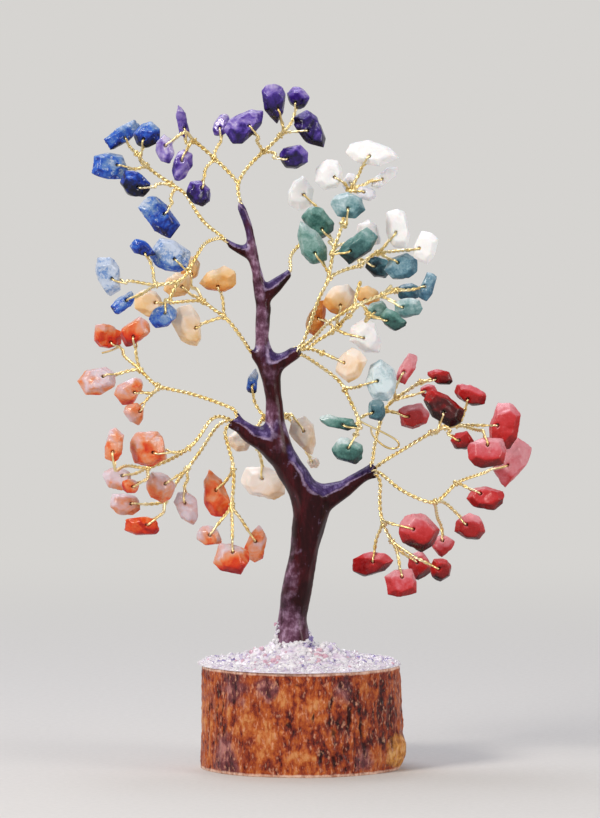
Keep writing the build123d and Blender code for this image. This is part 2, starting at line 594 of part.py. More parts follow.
def clear_start(start, end, radius, wires):
    """The first place on the way to the end where a wire's mouth stands clear of the others."""
    way = end - start
    mouth = Plane(origin=start, z_dir=way)
    turn = 2 * pi / mouth_directions
    rim = [
        (mouth.x_dir * cos(k * turn) + mouth.y_dir * sin(k * turn)) * radius
        for k in range(mouth_directions)
    ]
    steps = round(way.length / radius * mouth_tries)
    for step in range(steps):
        spot = start + way * (step / steps)
        if all(
            distance_to_run(spot + offset, low, high) > girth * mitre_share + wire_gap
            for kind, points, girth, sides in wires
            for low, high in zip(points, points[1:])
            for offset in rim
        ):
            return spot
    return start + way * elbow_share


def chip_plane(place, turn, tilt, swing):
    """The plane of a chip: turned in the crown's face, tilted about its length, and swung."""
    along = Vector(cos(turn), 0, sin(turn))
    face = Vector(0, -1, 0)
    side = Vector(-sin(turn), 0, cos(turn))
    normal = face * cos(tilt) + side * sin(tilt)
    normal = normal * cos(swing) + along * sin(swing)
    return Plane(origin=place, x_dir=along - normal * along.dot(normal), z_dir=normal)


def rim_distance(outline, direction):
    """How far the rim of an outline is from its middle in one direction."""
    for (x1, y1), (x2, y2) in zip(outline, outline[1:] + outline[:1]):
        spread = direction.X * (y2 - y1) - direction.Y * (x2 - x1)
        if spread:
            reach = (x1 * (y2 - y1) - y1 * (x2 - x1)) / spread
            part = (x1 * direction.Y - y1 * direction.X) / spread
            if reach > 0 and 0 <= part <= 1:
                return reach
    return max(abs(x) for x, y in outline)


def place_chip(row, places, index):
    """The plane, rings, hole and wire places of one chip."""
    stone, cut, share, (length, width), turn, tilt, route = row
    degree = pi / 180
    swing = swing_shares[index % len(swing_shares)]
    plane = chip_plane(places(share), turn * degree, tilt * degree, swing)
    half_length, half_width = length * chip_length / 2, width * chip_length / 2
    thick = plump_share * width * chip_length
    outline = [(x * half_length, y * half_width) for x, y in cut_shares[cut]]
    last = plane.to_local_coords(places(route[-1]))
    entry = Vector(last.X, last.Y).normalized()
    rim = rim_distance(outline, entry)
    eye = entry * rim * hole_place_share
    over = thick / 2 + strand_radius + eye_gap
    neck = rim + strand_radius * neck_share
    loop = [
        entry * (neck - strand_radius * neck_back_share) + Vector(0, 0, strand_radius * neck_spread_share),
        entry * rim * shoulder_share + Vector(0, 0, over),
        eye + Vector(0, 0, over),
    ]
    loop += [Vector(spot.X, spot.Y, -spot.Z) for spot in reversed(loop)]
    elbow = entry * (neck + max(stem_radius * 2, (last.length - neck) * elbow_share))
    rings = [
        [Vector(x * scale, y * scale, height * thick) for x, y in outline]
        for scale, height in ((back_share, -0.5), (1, belly_share), (face_share, 0.5))
    ]
    return {
        "stone": stone,
        "rings": [[plane.from_local_coords(corner) for corner in ring] for ring in rings],
        "eye": Plane(plane.from_local_coords(eye), x_dir=plane.x_dir, z_dir=plane.z_dir),
        "thick": thick,
        "loop": [plane.from_local_coords(spot) for spot in loop],
        "neck": plane.from_local_coords(entry * neck),
        "elbow": plane.from_local_coords(elbow),
        "route": route,
    }


def lay_out_spray(spray):
    """Where a spray's wires and chips stand; a wire is its kind, places, radius and sides."""
    tip, out = stub_tip(spray["stub"])
    tip_share, count = tip_shares[spray["stub"]]
    shift = tip - crown_place(tip_share)

    def place(share):
        if share == 0:
            return tip
        return crown_place(spray["places"].get(share, share)) + shift

    face = Vector(0, -1, 0)
    mouth = Plane(origin=tip, x_dir=face - out * out.dot(face), z_dir=out)
    around = 2 * pi * spray["slot"] / count
    seat = mouth.x_dir * cos(around) + mouth.y_dir * sin(around)
    seat = seat * socket_circle(spray["stub"])[0]
    wires = []
    for stem in spray["stems"]:
        points = [place(number) for number in stem]
        if stem[0] == 0:
            foot = tip + seat - out * (socket_depth - socket_gap)
            points = [foot, tip + seat + out * stem_radius] + points[1:]
        else:
            points[0] = clear_start(points[0], points[1], stem_radius, wires)
        wires.append(("stem", points, stem_radius, stem_sides))
    if "bare_loop" in spray:
        points = [place(number) for number in spray["bare_loop"]]
        points[0] = clear_start(points[0], points[1], strand_radius, wires)
        wires.append(("bare", points, strand_radius, strand_sides))
    chips = [place_chip(row, place, k) for k, row in enumerate(spray["chips"])]
    for chip in chips:
        points = [place(number) for number in chip["route"]] + [chip["elbow"], chip["neck"]]
        points[0] = clear_start(points[0], points[1], twig_radius, wires)
        wires.append(("twig", points, twig_radius, twig_sides))
        wires.append(("loop", chip["loop"], strand_radius, strand_sides))
    return wires, chips


def make_spray(name, spray):
    """The wires of one spray, and its chips, one part for each kind of stone."""
    wires, chips = lay_out_spray(spray)
    with BuildPart() as wire:
        add([run_tube(points, radius, sides) for kind, points, radius, sides in wires])
    finish(wire.part, name + "_wire")
    for stone in sorted({chip["stone"] for chip in chips}):
        with BuildPart() as stones:
            alike = [chip for chip in chips if chip["stone"] == stone]
            add([facet_rings(chip["rings"]) for chip in alike])
            with BuildSketch(*[chip["eye"] for chip in alike]):
                RegularPolygon(radius=hole_diameter / 2, side_count=hole_sides)
            drill_reach = max(chip["thick"] for chip in alike) / 2 + eye_gap
            extrude(amount=drill_reach, both=True, mode=Mode.SUBTRACT)
        finish(stones.part, name + "_" + stone + "_chips")


def finish(part, name):
    """Name a part and write its file."""
    part.label = name
    export_step(part, "parts/" + name + ".step")
    print(name, len(part.solids()), round(part.volume, 1))


log_radius = log_diameter / 2
slice_radius = log_radius - bark_thickness - bark_gap
foot_middle = trunk_ring(*trunk_shares[0])[0]
core_route = [foot_middle - Vector(0, 0, core_peg_depth)]
core_route += [trunk_ring(*ring)[0] for ring in trunk_shares if ring[0] <= core_top_share]

# The wood of the slice, bored for the peg of the wire bundle
with BuildPart() as log_slice:
    with BuildSketch():
        RegularPolygon(radius=slice_radius, side_count=len(bark_rim_shares))
    extrude(amount=log_height)
    with BuildSketch(Plane.XY.offset(log_height)):
        with Locations((foot_middle.X, foot_middle.Y)):
            RegularPolygon(radius=core_radius + core_gap, side_count=core_sides)
    extrude(amount=-core_peg_depth - core_gap, mode=Mode.SUBTRACT)
finish(log_slice.part, "log_slice")

# The bark round it, knobbly, with a bulge near the foot
with BuildPart() as bark_band:
    waist = Vector(0, 0, log_height * bark_waist_height_share)
    rim = Vector(0, 0, log_height)
    add(split_rings([
        star(bark_foot_shares, log_radius, Vector(0, 0, 0)),
        star(bark_waist_shares, log_radius, waist),
        star(bark_rim_shares, log_radius, rim),
    ]))
    with BuildSketch():
        RegularPolygon(radius=slice_radius + bark_gap, side_count=len(bark_rim_shares))
    extrude(amount=log_height, mode=Mode.SUBTRACT)
finish(bark_band.part, "bark_band")


def mound_height(distance):
    """The height of the mound's skin above the log at a distance from the middle."""
    share = distance / (log_radius + crust_overhang)
    for (wide, low), (narrow, high) in zip(mound_shares, mound_shares[1:]):
        if narrow <= share <= wide and wide > narrow:
            return (low + (high - low) * (wide - share) / (wide - narrow)) * crust_mound_height
    return crust_mound_height if share < mound_shares[-1][0] else 0


# The crust: a low mound of crushed stone, with the larger crystals standing out of it
with BuildPart() as stone_crust:
    add(facet_rings([
        star(mound_outline_shares, radius * (log_radius + crust_overhang),
             Vector(0, 0, log_height + height * crust_mound_height))
        for radius, height in mound_shares
    ]))
    crystals = []
    for k in range(grit_count):
        area_share = grit_start_share + (1 - grit_start_share) * (k + 0.5) / grit_count
        distance = area_share ** 0.5 * (log_radius - grit_size * grit_inset_share)
        spin = k * grit_turn
        size = grit_size / 2 * (1 - grit_swing_share + grit_swing_share * sin(k * grit_size_turn))
        skin = log_height + mound_height(distance)
        middle = Vector(distance * cos(spin), distance * sin(spin), skin)
        along = Vector(cos(k), sin(k), grit_tip_share * sin(k * grit_tip_turn))
        level = Plane(origin=middle, x_dir=along)
        crystals.append(facet_rings([
            [
                level.from_local_coords(Vector(x * size * wide, y * size * wide, up * size))
                for x, y in grit_outline_shares
            ]
            for wide, up in grit_ring_shares
        ]))
    add(crystals)
    foot_radius = trunk_ring(*trunk_shares[0])[1] + trunk_gap
    add(facet_rings([
        star(flute_shares, foot_radius, foot_middle + Vector(0, 0, height))
        for height in (-log_height / 2, crust_mound_height * 2)
    ]), mode=Mode.SUBTRACT)
    with BuildSketch(Plane.XY.offset(log_height)):
        Circle(log_diameter)
    extrude(amount=-grit_size, mode=Mode.SUBTRACT)
finish(stone_crust.part, "stone_crust")

# The trunk, fluted, with its stubs, the channel for the wire bundle and the sockets of the sprays
with BuildPart() as trunk_clay:
    add(facet_rings([
        star(flute_shares, radius, middle)
        for middle, radius in (trunk_ring(*ring) for ring in trunk_shares)
    ]))
    for name in stub_shares:
        rings = stub_rings(name)
        across = Plane(origin=rings[0][0], z_dir=rings[-1][0] - rings[0][0])
        turn = 2 * pi / stub_sides
        ways = [across.x_dir * cos(k * turn) + across.y_dir * sin(k * turn) for k in range(stub_sides)]
        add(facet_rings([[middle + way * radius for way in ways] for middle, radius in rings]))
    add(run_tube(core_route, core_radius + core_gap, core_sides), mode=Mode.SUBTRACT)
    for name in tip_shares:
        tip, out = stub_tip(name)
        with BuildSketch(Plane(origin=tip + out * socket_depth, z_dir=out)):
            RegularPolygon(radius=socket_circle(name)[1], side_count=socket_sides)
        extrude(amount=-socket_depth * 2, mode=Mode.SUBTRACT)
finish(trunk_clay.part, "trunk_clay")

# The bundle of wires, from its peg in the log up to the fork of the trunk
with BuildPart() as core_bundle:
    bundle_route = core_route[:-1] + [core_route[-1] - Vector(0, 0, core_gap)]
    add(run_tube(bundle_route, core_radius, core_sides))
finish(core_bundle.part, "core_bundle")

for name, spray in spray_shares.items():
    make_spray(name, spray)
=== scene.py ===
from functools import partial
from math import cos, pi, radians, sin
from random import Random

import bmesh
import bpy
import numpy as np
from mathutils import Matrix, Vector, noise
from mathutils.bvhtree import BVHTree


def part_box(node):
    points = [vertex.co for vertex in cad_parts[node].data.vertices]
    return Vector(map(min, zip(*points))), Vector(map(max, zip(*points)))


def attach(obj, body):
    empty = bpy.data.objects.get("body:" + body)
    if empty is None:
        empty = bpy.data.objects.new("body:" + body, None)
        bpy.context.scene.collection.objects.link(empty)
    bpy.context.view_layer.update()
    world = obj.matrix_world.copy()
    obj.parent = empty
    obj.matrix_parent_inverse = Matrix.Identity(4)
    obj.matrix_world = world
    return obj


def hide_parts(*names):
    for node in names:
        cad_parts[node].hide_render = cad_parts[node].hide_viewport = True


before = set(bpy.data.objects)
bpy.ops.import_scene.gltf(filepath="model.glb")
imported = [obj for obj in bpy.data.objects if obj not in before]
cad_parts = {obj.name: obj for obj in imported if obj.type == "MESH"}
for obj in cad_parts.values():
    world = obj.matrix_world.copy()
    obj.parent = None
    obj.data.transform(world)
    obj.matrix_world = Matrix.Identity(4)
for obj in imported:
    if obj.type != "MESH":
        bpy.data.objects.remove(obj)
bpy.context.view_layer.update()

bl_info = {
    "name": "Gemstone tree",
    "version": (1, 0, 0),
    "blender": (4, 5, 0),
    "location": "View3D > Sidebar > Gemstone tree",
    "description": "Dresses a tree of drilled stone chips on twisted brass wire",
    "category": "Object",
}

MM = 0.001
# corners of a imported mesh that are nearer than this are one
MERGE = 0.002 * MM
# what a pixel of the photograph shows at the tree, how many pixels high the photograph is, the
# column of its middle, the row of the ground, and how steeply it looks down
PIXEL = 0.25 * MM
PHOTO_HEIGHT = 818
PHOTO_MIDDLE = 300
PHOTO_GROUND = 768
LOOK_DOWN = 0.096

wire_nodes = [node for node in sorted(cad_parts) if node.endswith("_wire")]


def length(name, description, default, least=0):
    """A length that a user can change, in millimetres."""
    return bpy.props.FloatProperty(
        name=name, description=description, default=default * MM, min=least * MM,
        subtype="DISTANCE", unit="LENGTH")


# Colours and node trees

def linear(code):
    """An sRGB hex colour as linear red, green, blue and alpha."""
    parts = [int(code[k:k + 2], 16) / 255 for k in (1, 3, 5)]
    return [part / 12.92 if part <= 0.04045 else ((part + 0.055) / 1.055) ** 2.4
            for part in parts] + [1]


def fill_inputs(node, inputs):
    """Give a node's inputs their values, hex colours or links from other nodes."""
    for name, value in inputs.items():
        if isinstance(value, bpy.types.NodeSocket):
            node.id_data.links.new(value, node.inputs[name])
        else:
            node.inputs[name].default_value = linear(value) if isinstance(value, str) else value


def add_node(tree, kind, inputs=None, stops=(), out=0, **settings):
    """Add a node with its settings, inputs and colour stops; gives one of its outputs."""
    node = tree.nodes.new("ShaderNode" + kind)
    for name, value in settings.items():
        setattr(node, name, value)
    fill_inputs(node, inputs or {})
    if stops:
        ramp = node.color_ramp
        while len(ramp.elements) < len(stops):
            ramp.elements.new(1)
        for element, (place, code) in zip(ramp.elements, stops):
            element.position = place
            element.color = linear(code)
    return node.outputs[out]


def new_material(name):
    """A material, what adds a node to it, and its object coordinates."""
    material = bpy.data.materials.new(name)
    material.use_nodes = True
    add = partial(add_node, material.node_tree)
    return material, add, add("TexCoord", out="Object")


def finished(material, inputs):
    """A material whose shader has its inputs."""
    fill_inputs(material.node_tree.nodes["Principled BSDF"], inputs)
    return material


def cells(size):
    """The scale of a pattern whose cells are so many millimetres across."""
    return 1 / (size * MM)


def swayed(add, value, source, share):
    """A value with a share of another value's distance from its middle added to it."""
    swing = add("Math", {0: source, 1: share, 2: -share / 2}, operation="MULTIPLY_ADD")
    return add("Math", {0: value, 1: swing}, operation="ADD")


def covered(add, skin, colour, value, start, end, most=1):
    """A skin with a colour over it that grows to its most as a value runs from start to end."""
    cover = add("MapRange", {"Value": value, "From Min": start, "From Max": end, "To Max": most})
    return add("Mix", {"Factor": cover, 6: skin, 7: colour}, out=2, data_type="RGBA")


# Meshes

def select_only(*pieces):
    """Select some objects and make the first active."""
    bpy.ops.object.select_all(action="DESELECT")
    for piece in pieces:
        piece.select_set(True)
    bpy.context.view_layer.objects.active = pieces[0]


def new_piece(name, data):
    """An object at the origin from a mesh or a curve."""
    piece = bpy.data.objects.new(name, data)
    bpy.context.scene.collection.objects.link(piece)
    return piece


def merged(node):
    """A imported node's shape with its doubled corners merged."""
    shape = bmesh.new()
    shape.from_mesh(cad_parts[node].data)
    bmesh.ops.remove_doubles(shape, verts=shape.verts, dist=MERGE)
    return shape


def cad_copy(node, name):
    """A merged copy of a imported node's mesh, as a new object at the origin."""
    shape = merged(node)
    piece = new_piece(name, bpy.data.meshes.new(name))
    shape.to_mesh(piece.data)
    shape.free()
    return piece


def apply_modifier(piece, kind, **settings):
    """Add one modifier to a piece, set it and apply it."""
    select_only(piece)
    modifier = piece.modifiers.new(kind, kind)
    for name, value in settings.items():
        setattr(modifier, name, value)
    bpy.ops.object.modifier_apply(modifier=modifier.name)


def smooth(piece, rounds):
    """Smooth a piece evenly."""
    apply_modifier(piece, "SMOOTH", factor=0.5, iterations=rounds)


def remesh(piece, grain, rounds):
    """Give a piece a new mesh of even faces, and smooth it."""
    apply_modifier(piece, "REMESH", mode="VOXEL", voxel_size=grain)
    smooth(piece, rounds)


def places_of(piece, what="co"):
    """The places, or the normals, of a piece's vertices."""
    places = np.empty(len(piece.data.vertices) * 3)
    piece.data.vertices.foreach_get(what, places)
    return places.reshape(-1, 3)


def set_places(piece, places):
    """Move a piece's vertices."""
    piece.data.vertices.foreach_set("co", places.ravel())
    piece.data.update()


def set_values(piece, values):
    """Write named values on a piece's vertices."""
    for name, shares in values.items():
        attribute = piece.data.attributes.new(name, "FLOAT", "POINT")
        attribute.data.foreach_set("value", np.clip(shares, 0, 1))


def joined(pieces, name):
    """Join several pieces into one of a new name."""
    select_only(*pieces)
    if len(pieces) > 1:
        bpy.ops.object.join()
    pieces[0].name = name
    pieces[0].data.name = name
    return pieces[0]


def coat(piece, material):
    """Give a piece its one material."""
    piece.data.materials.clear()
    piece.data.materials.append(material)


def dress(piece, material, slot, *nodes):
    """Shade a piece smoothly, give it its material, attach it to the root body and hide the nodes
    it stands for; the slot is not used.
    """
    select_only(piece)
    bpy.ops.object.shade_smooth()
    coat(piece, material)
    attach(piece, "root")
    if nodes:
        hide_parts(*nodes)


def reliefs(places, size, seed, octaves=3, stretch=(1, 1, 1)):
    """Soft noise from about -1 to 1 at each place, its lumps so many millimetres across."""
    shift = Vector((seed * 7.3, seed * 3.1, seed * 5.7))
    return np.array([noise.fractal(Vector(place) / (size * MM) + shift, 1.0, 2.0, octaves)
                     for place in places * np.array(stretch)])


def faded(values, start, end):
    """Values turned smoothly to run from 0 at start to 1 at end."""
    part = np.clip((values - start) / (end - start), 0, 1)
    return part * part * (3 - 2 * part)


def tree_of(piece):
    """A piece's surface, for casting rays at it."""
    return BVHTree.FromObject(piece, bpy.context.evaluated_depsgraph_get())


# Materials

def stone_material(name, stops, swing, clouds, specks, gloss, others=None, flecks=None,
                   glow=0, clear=0):
    """A tumbled stone: its tone is set chip by chip, and clouds and specks run through it."""
    material, add, spots = new_material(name)
    cloud = add("TexNoise", {
        "Vector": spots, "Scale": cells(clouds), "Detail": 3, "Distortion": 0.7})
    speck = add("TexNoise", {
        "Vector": spots, "Scale": cells(specks), "Detail": 6, "Roughness": 0.65})
    own = add("Attribute", out="Fac", attribute_name="tone")
    tone = swayed(add, swayed(add, own, cloud, swing[0]), speck, swing[1])
    skin = add("ValToRGB", {"Fac": tone}, stops)
    if others:
        hue = add("Attribute", out="Fac", attribute_name="hue")
        other = add("ValToRGB", {"Fac": tone}, others)
        skin = add("Mix", {"Factor": hue, 6: skin, 7: other}, out=2, data_type="RGBA")
    if flecks:
        size, start, colour = flecks
        spread = add("TexNoise", {
            "Vector": spots, "Scale": cells(size), "Detail": 4, "Roughness": 0.6})
        skin = covered(add, skin, colour, swayed(add, spread, own, 0.22), start, start + 0.09)
    polish = add("MapRange", {"Value": speck, "From Min": 0.3, "From Max": 0.7,
                              "To Min": gloss, "To Max": gloss + 0.14})
    return finished(material, {
        "Base Color": skin, "Roughness": polish, "IOR": 1.54, "Specular IOR Level": 0.3,
        "Normal": add("Bump", {"Height": speck, "Distance": 0.05 * MM}),
        "Transmission Weight": clear, "Subsurface Weight": glow,
        "Subsurface Radius": (1.0, 0.6, 0.45), "Subsurface Scale": 1.2 * MM})


def make_stones():
    """The chips' materials. They are tumbled and polished, so all of them are glossy."""
    return {
        # quartz with iron in it: see-through, from deep indigo to pale lilac in zones
        "amethyst": stone_material("tumbled_amethyst", (
            (0, "#0c0422"), (0.2, "#220e56"), (0.38, "#3c2482"), (0.54, "#664eac"),
            (0.74, "#9a88ca"), (1, "#cfc6e4")), (1.24, 0.36), 2.4, 1.0, 0.06, glow=0.15,
            clear=0.1),
        # a blue rock: navy to royal blue with grey and white streaks of calcite
        "lapis": stone_material("tumbled_lapis", (
            (0, "#02041a"), (0.2, "#07154e"), (0.4, "#12349a"), (0.56, "#2a5cc0"),
            (0.74, "#5f84be"), (0.9, "#8fa5c8"), (1, "#b9c5da")), (1.2, 0.6), 2.6, 0.7, 0.1,
            flecks=(0.9, 0.6, "#b4c0d4")),
        # milky quartz in honey and cream: waxy, with soft clouds
        "cream": stone_material("tumbled_chalcedony", (
            (0, "#a8480a"), (0.22, "#cc7424"), (0.4, "#dc9e54"), (0.58, "#e6c08c"),
            (0.78, "#eed8c2"), (1, "#f4ebe4")), (0.6, 0.16), 4.0, 1.4, 0.14, glow=0.25),
        # orange-red quartz: half clear, with zones from red over orange to milky pink
        "carnelian": stone_material("tumbled_carnelian", (
            (0, "#9c0e04"), (0.18, "#cc2a0c"), (0.34, "#de5420"), (0.5, "#e28350"),
            (0.64, "#dd9c80"), (0.8, "#d8aeac"), (1, "#dccbd4")), (1.5, 0.28), 4.2, 1.0, 0.07,
            glow=0.25, clear=0.08),
        # clear and milky quartz: white with a wet shine
        "quartz": stone_material("tumbled_quartz", (
            (0, "#9397a6"), (0.3, "#c4c6d0"), (0.5, "#e3e2ea"), (0.72, "#f5f4f7"),
            (1, "#fdfdfe")), (0.72, 0.32), 2.4, 0.8, 0.06, glow=0.3, clear=0.05),
        # green quartz full of tiny scales, here and there nearly blue
        "green": stone_material("tumbled_aventurine", (
            (0, "#0a1719"), (0.2, "#1c3a39"), (0.4, "#37625c"), (0.55, "#55827b"),
            (0.7, "#7aa09a"), (0.86, "#a9c0c0"), (1, "#d0dde0")), (0.72, 0.4), 2.8, 0.5, 0.09, (
            (0, "#060f18"), (0.2, "#172f46"), (0.4, "#335870"), (0.55, "#4e778e"),
            (0.7, "#7d9dae"), (0.86, "#a8bfca"), (1, "#d0dfe6")), glow=0.1),
        # an opaque red stone, duller than the others, darker along its veins
        "jasper": stone_material("tumbled_jasper", (
            (0, "#1c0406"), (0.16, "#4c080b"), (0.34, "#8a0f10"), (0.52, "#b01a1a"),
            (0.68, "#c2363a"), (0.84, "#cf6670"), (1, "#dc929a")), (0.44, 0.24), 3.6, 0.9, 0.18),
    }


def make_brass():
    """Drawn brass wire: pale yellow metal, a little deeper where it is tarnished."""
    material, add, spots = new_material("drawn_brass_wire")
    patches = add("TexNoise", {"Vector": spots, "Scale": cells(4), "Detail": 3})
    skin = add("ValToRGB", {"Fac": patches}, (
        (0.25, "#d8b86c"), (0.5, "#ecd79e"), (0.8, "#f8eecb")))
    polish = add("MapRange", {"Value": patches, "From Min": 0.3, "From Max": 0.7,
                              "To Min": 0.42, "To Max": 0.28})
    drawn = add("TexNoise", {"Vector": spots, "Scale": cells(0.3), "Detail": 2})
    return finished(material, {
        "Base Color": skin, "Metallic": 1, "Roughness": polish,
        "Normal": add("Bump", {"Height": drawn, "Distance": 0.015 * MM})})


def make_clay():
    """Moulded polymer clay, dark maroon and varnished, with painted violet reflections, painted
    mauve highlights and painted pale lines on its ridges.
    """
    material, add, spots = new_material("varnished_clay")
    upright = add("Mapping", {"Vector": spots, "Scale": (1, 1, 0.35)})
    hues, fine, mottle = [
        add("TexNoise", {"Vector": way, "Scale": cells(size), "Detail": detail,
                         "Roughness": 0.6, "Distortion": wander})
        for way, size, detail, wander in (
            (upright, 5, 4, 0.8), (upright, 0.9, 5, 0), (spots, 2, 4, 0))]
    skin = add("ValToRGB", {"Fac": swayed(add, hues, fine, 0.35)}, (
        (0.3, "#180306"), (0.48, "#2c090e"), (0.64, "#431118"), (0.8, "#5a232c")))
    # painted light over the maroon: a violet reflection of the sky, mauve highlights and pale
    # ridge lines
    for name, stops in (
            ("mauve_highlight", ((0.3, "#452233"), (0.5, "#6f4a62"), (0.7, "#a888a2"))),
            ("violet", ((0.3, "#271a3c"), (0.52, "#453463"), (0.72, "#7d6e9e"))),
            ("lip_highlight", ((0.3, "#6c5876"), (0.6, "#a692b4")))):
        painted_sheen = add("ValToRGB", {"Fac": swayed(add, mottle, fine, 0.5)}, stops)
        wear_and_painted_light = add("Attribute", out="Fac", attribute_name=name)
        skin = covered(add, skin, painted_sheen, swayed(add, wear_and_painted_light, mottle, 0.8), 0.1, 0.9)
    return finished(material, {
        "Base Color": skin, "Roughness": 0.3, "IOR": 1.5, "Specular IOR Level": 0.08,
        "Coat Weight": 0.14, "Coat Roughness": 0.14,
        "Normal": add("Bump", {"Height": fine, "Distance": 0.06 * MM})})


def make_bark():
    """Varnished bark: short upright fibres in orange, rust and maroon, with dark cracks that also
    hold painted shade, and painted glints.
    """
    material, add, spots = new_material("varnished_bark")
    upright = add("Mapping", {"Vector": spots, "Scale": (1, 1, 0.5)})
    patches, grain, glint_specks, blush = [
        add("TexNoise", {"Vector": way, "Scale": cells(size), "Detail": detail,
                         "Roughness": rough, "Distortion": wander})
        for way, size, detail, rough, wander in (
            (spots, 5, 5, 0.6, 0.5), (upright, 1.1, 5, 0.7, 0), (upright, 0.75, 3, 0.5, 0),
            (spots, 2.2, 4, 0.6, 0))]
    wear_and_painted_light = {name: add("Attribute", out="Fac", attribute_name=name)
            for name in ("rib", "light", "grey", "amber", "furrow_shade", "cut")}
    tone = swayed(add, swayed(add, patches, grain, 1.25), wear_and_painted_light["rib"], 0.3)
    tone = swayed(add, tone, wear_and_painted_light["light"], 0.3)
    skin = add("ValToRGB", {"Fac": tone}, (
        (0.14, "#1c0608"), (0.28, "#480f0e"), (0.41, "#7e2a18"), (0.53, "#a2461c"),
        (0.66, "#b95f28"), (0.84, "#cf8a52")))
    # where the bark is greyed, where it is yellow, the cracks, darkened partly in their own colour
    # and partly as painted shade, and the sawn edge
    for name, stops in (
            ("grey", ((0.2, "#2c0f16"), (0.5, "#743a3e"), (0.75, "#b47872"))),
            ("amber", ((0.2, "#8c4812"), (0.5, "#d4903e"), (0.75, "#f2c684"))),
            ("furrow_shade", "#300a0c"), ("cut", ((0.3, "#b98068"), (0.6, "#ecc9b6")))):
        over = stops if name == "furrow_shade" else add("ValToRGB", {"Fac": tone}, stops)
        skin = covered(add, skin, over, swayed(add, wear_and_painted_light[name], blush, 1.2), 0.25, 0.85)
    # pale specks on the fibres are painted glints of the varnish
    skin = covered(add, skin, "#dca080", glint_specks, 0.57, 0.7, 0.7)
    polish = add("MapRange", {"Value": grain, "From Min": 0.3, "From Max": 0.7,
                              "To Min": 0.28, "To Max": 0.55})
    return finished(material, {
        "Base Color": skin, "Roughness": polish, "Specular IOR Level": 0.15,
        "Coat Weight": 0.16, "Coat Roughness": 0.12,
        "Normal": add("Bump", {"Height": swayed(add, grain, glint_specks, 0.8), "Distance": 0.4 * MM})})


def make_sawn_wood():
    """Sawn and oiled softwood: rings about 1.6 mm apart, and fine saw marks."""
    material, add, spots = new_material("sawn_wood")
    rings = add("TexWave", {"Vector": spots, "Scale": cells(6 * 1.6), "Distortion": 2,
                            "Detail": 3, "Detail Scale": 1},
                out="Fac", wave_type="RINGS", rings_direction="Z")
    marks = add("TexNoise", {"Vector": spots, "Scale": cells(2), "Detail": 5})
    tone = swayed(add, rings, marks, 0.4)
    skin = add("ValToRGB", {"Fac": tone}, (
        (0.1, "#a9744a"), (0.5, "#cf9f72"), (0.9, "#dcb68c")))
    return finished(material, {
        "Base Color": skin, "Roughness": 0.6,
        "Normal": add("Bump", {"Height": tone, "Distance": 0.1 * MM})})


def crystal_material(name, stops, clear):
    """Crushed crystal: clear to milky grains with a wet shine."""
    material, add, spots = new_material(name)
    grains = add("TexNoise", {
        "Vector": spots, "Scale": cells(2.2), "Detail": 4, "Roughness": 0.7})
    return finished(material, {
        "Base Color": add("ValToRGB", {"Fac": grains}, stops), "Roughness": 0.18, "IOR": 1.54,
        "Transmission Weight": clear, "Subsurface Weight": 0.25,
        "Subsurface Radius": (1.0, 0.9, 0.9), "Subsurface Scale": 0.6 * MM})


# The log, its bark and the crust

def roundness(surface, places, outside, height):
    """The share by which each place of a faceted piece has to move out to make the piece round."""
    sides, spread = 96, 3
    turns = np.linspace(-pi, pi, sides, endpoint=False)
    reaches = []
    for turn in turns:
        way = Vector((sin(turn), -cos(turn), 0))
        hit = surface.ray_cast(way * outside + Vector((0, 0, height)), -way)[0]
        reaches.append(Vector((hit.x, hit.y)).length)
    reaches = np.array(reaches)
    even_reach = sum(np.roll(reaches, k) for k in range(-spread, spread + 1)) / (2 * spread + 1)
    angle = np.arctan2(places[:, 0], -places[:, 1])
    return np.interp(angle, turns, even_reach / reaches, period=2 * pi) - 1


class TREE_PG_log(bpy.types.PropertyGroup):
    """Sizes of the log's bark."""
    bark_grain: length("Bark grain", "Size of the bark mesh's faces", 0.4, 0.3)
    fibre_depth: length("Fibre depth", "Depth between the bark's upright fibres", 0.3)
    crack_depth: length("Crack depth", "Depth of the dark cracks", 0.5)
    cut_edge: length(
        "Cut edge", "Height of the pale sawn line at the bark's top and foot", 0.8)
    bulge: length("Bulge", "How far the bark swells at its foot on the right", 1.3)


# The bark's dark cracks: place round the log from the front's middle, foot and head above the
# ground, and width, in millimetres
crack_rows = (
    (8.2, 15, 21.5, 0.9), (9, 7.5, 14, 0.9), (8.6, 1, 7, 0.9), (10.8, 20, 25, 1.3),
    (13.4, 9, 19.5, 1), (11.8, 4, 9, 0.6), (17.2, 7.5, 16, 0.8), (16, 17, 23, 0.5),
    (-11.4, 16, 19.5, 1), (-2.8, 10.5, 15.5, 1), (-1, 21.5, 24.5, 1.3), (-8.3, 3.5, 7, 0.8),
    (-13.5, 2.5, 6, 0.9), (-20.5, 9, 12.5, 0.6), (-23.5, 8, 20, 0.4), (-26, 6, 19, 0.4),
    (-7, 18, 22, 0.6), (3.5, 12, 18, 0.5), (-15.5, 18.5, 22, 0.6), (29, 3, 16, 0.5),
    (-31, 6, 19, 0.7), (38, 9, 23, 0.8), (46, 2, 17, 0.9), (55, 7, 20, 0.6), (-40, 2, 15, 0.8),
    (-52, 8, 22, 0.9), (64, 4, 19, 0.8), (-62, 10, 21, 0.6), (71, 5, 13, 0.5),
)

# The bark's blotches of each kind: where they are, as above, and how far they reach
blotch_rows = {
    "grey": ((-19, 22, 6), (-22, 4.5, 7), (-9, 22, 4), (12, 22, 4), (18, 4, 4), (60, 15, 9),
             (-48, 6, 8)),
    "amber": ((32, 4.5, 6.5),),
    "light": ((-70, 14, 7), (-16, 15, 5), (-9, 10, 5), (-1, 4, 5), (3, 16, 5), (-4, 20, 4),
              (22, 3, 4), (-40, 12, 8), (48, 18, 7)),
    "dark": ((26, 15, 9), (14, 16, 6), (-5, 15, 2.5), (5, 8, 3), (-60, 6, 9), (75, 16, 9)),
}


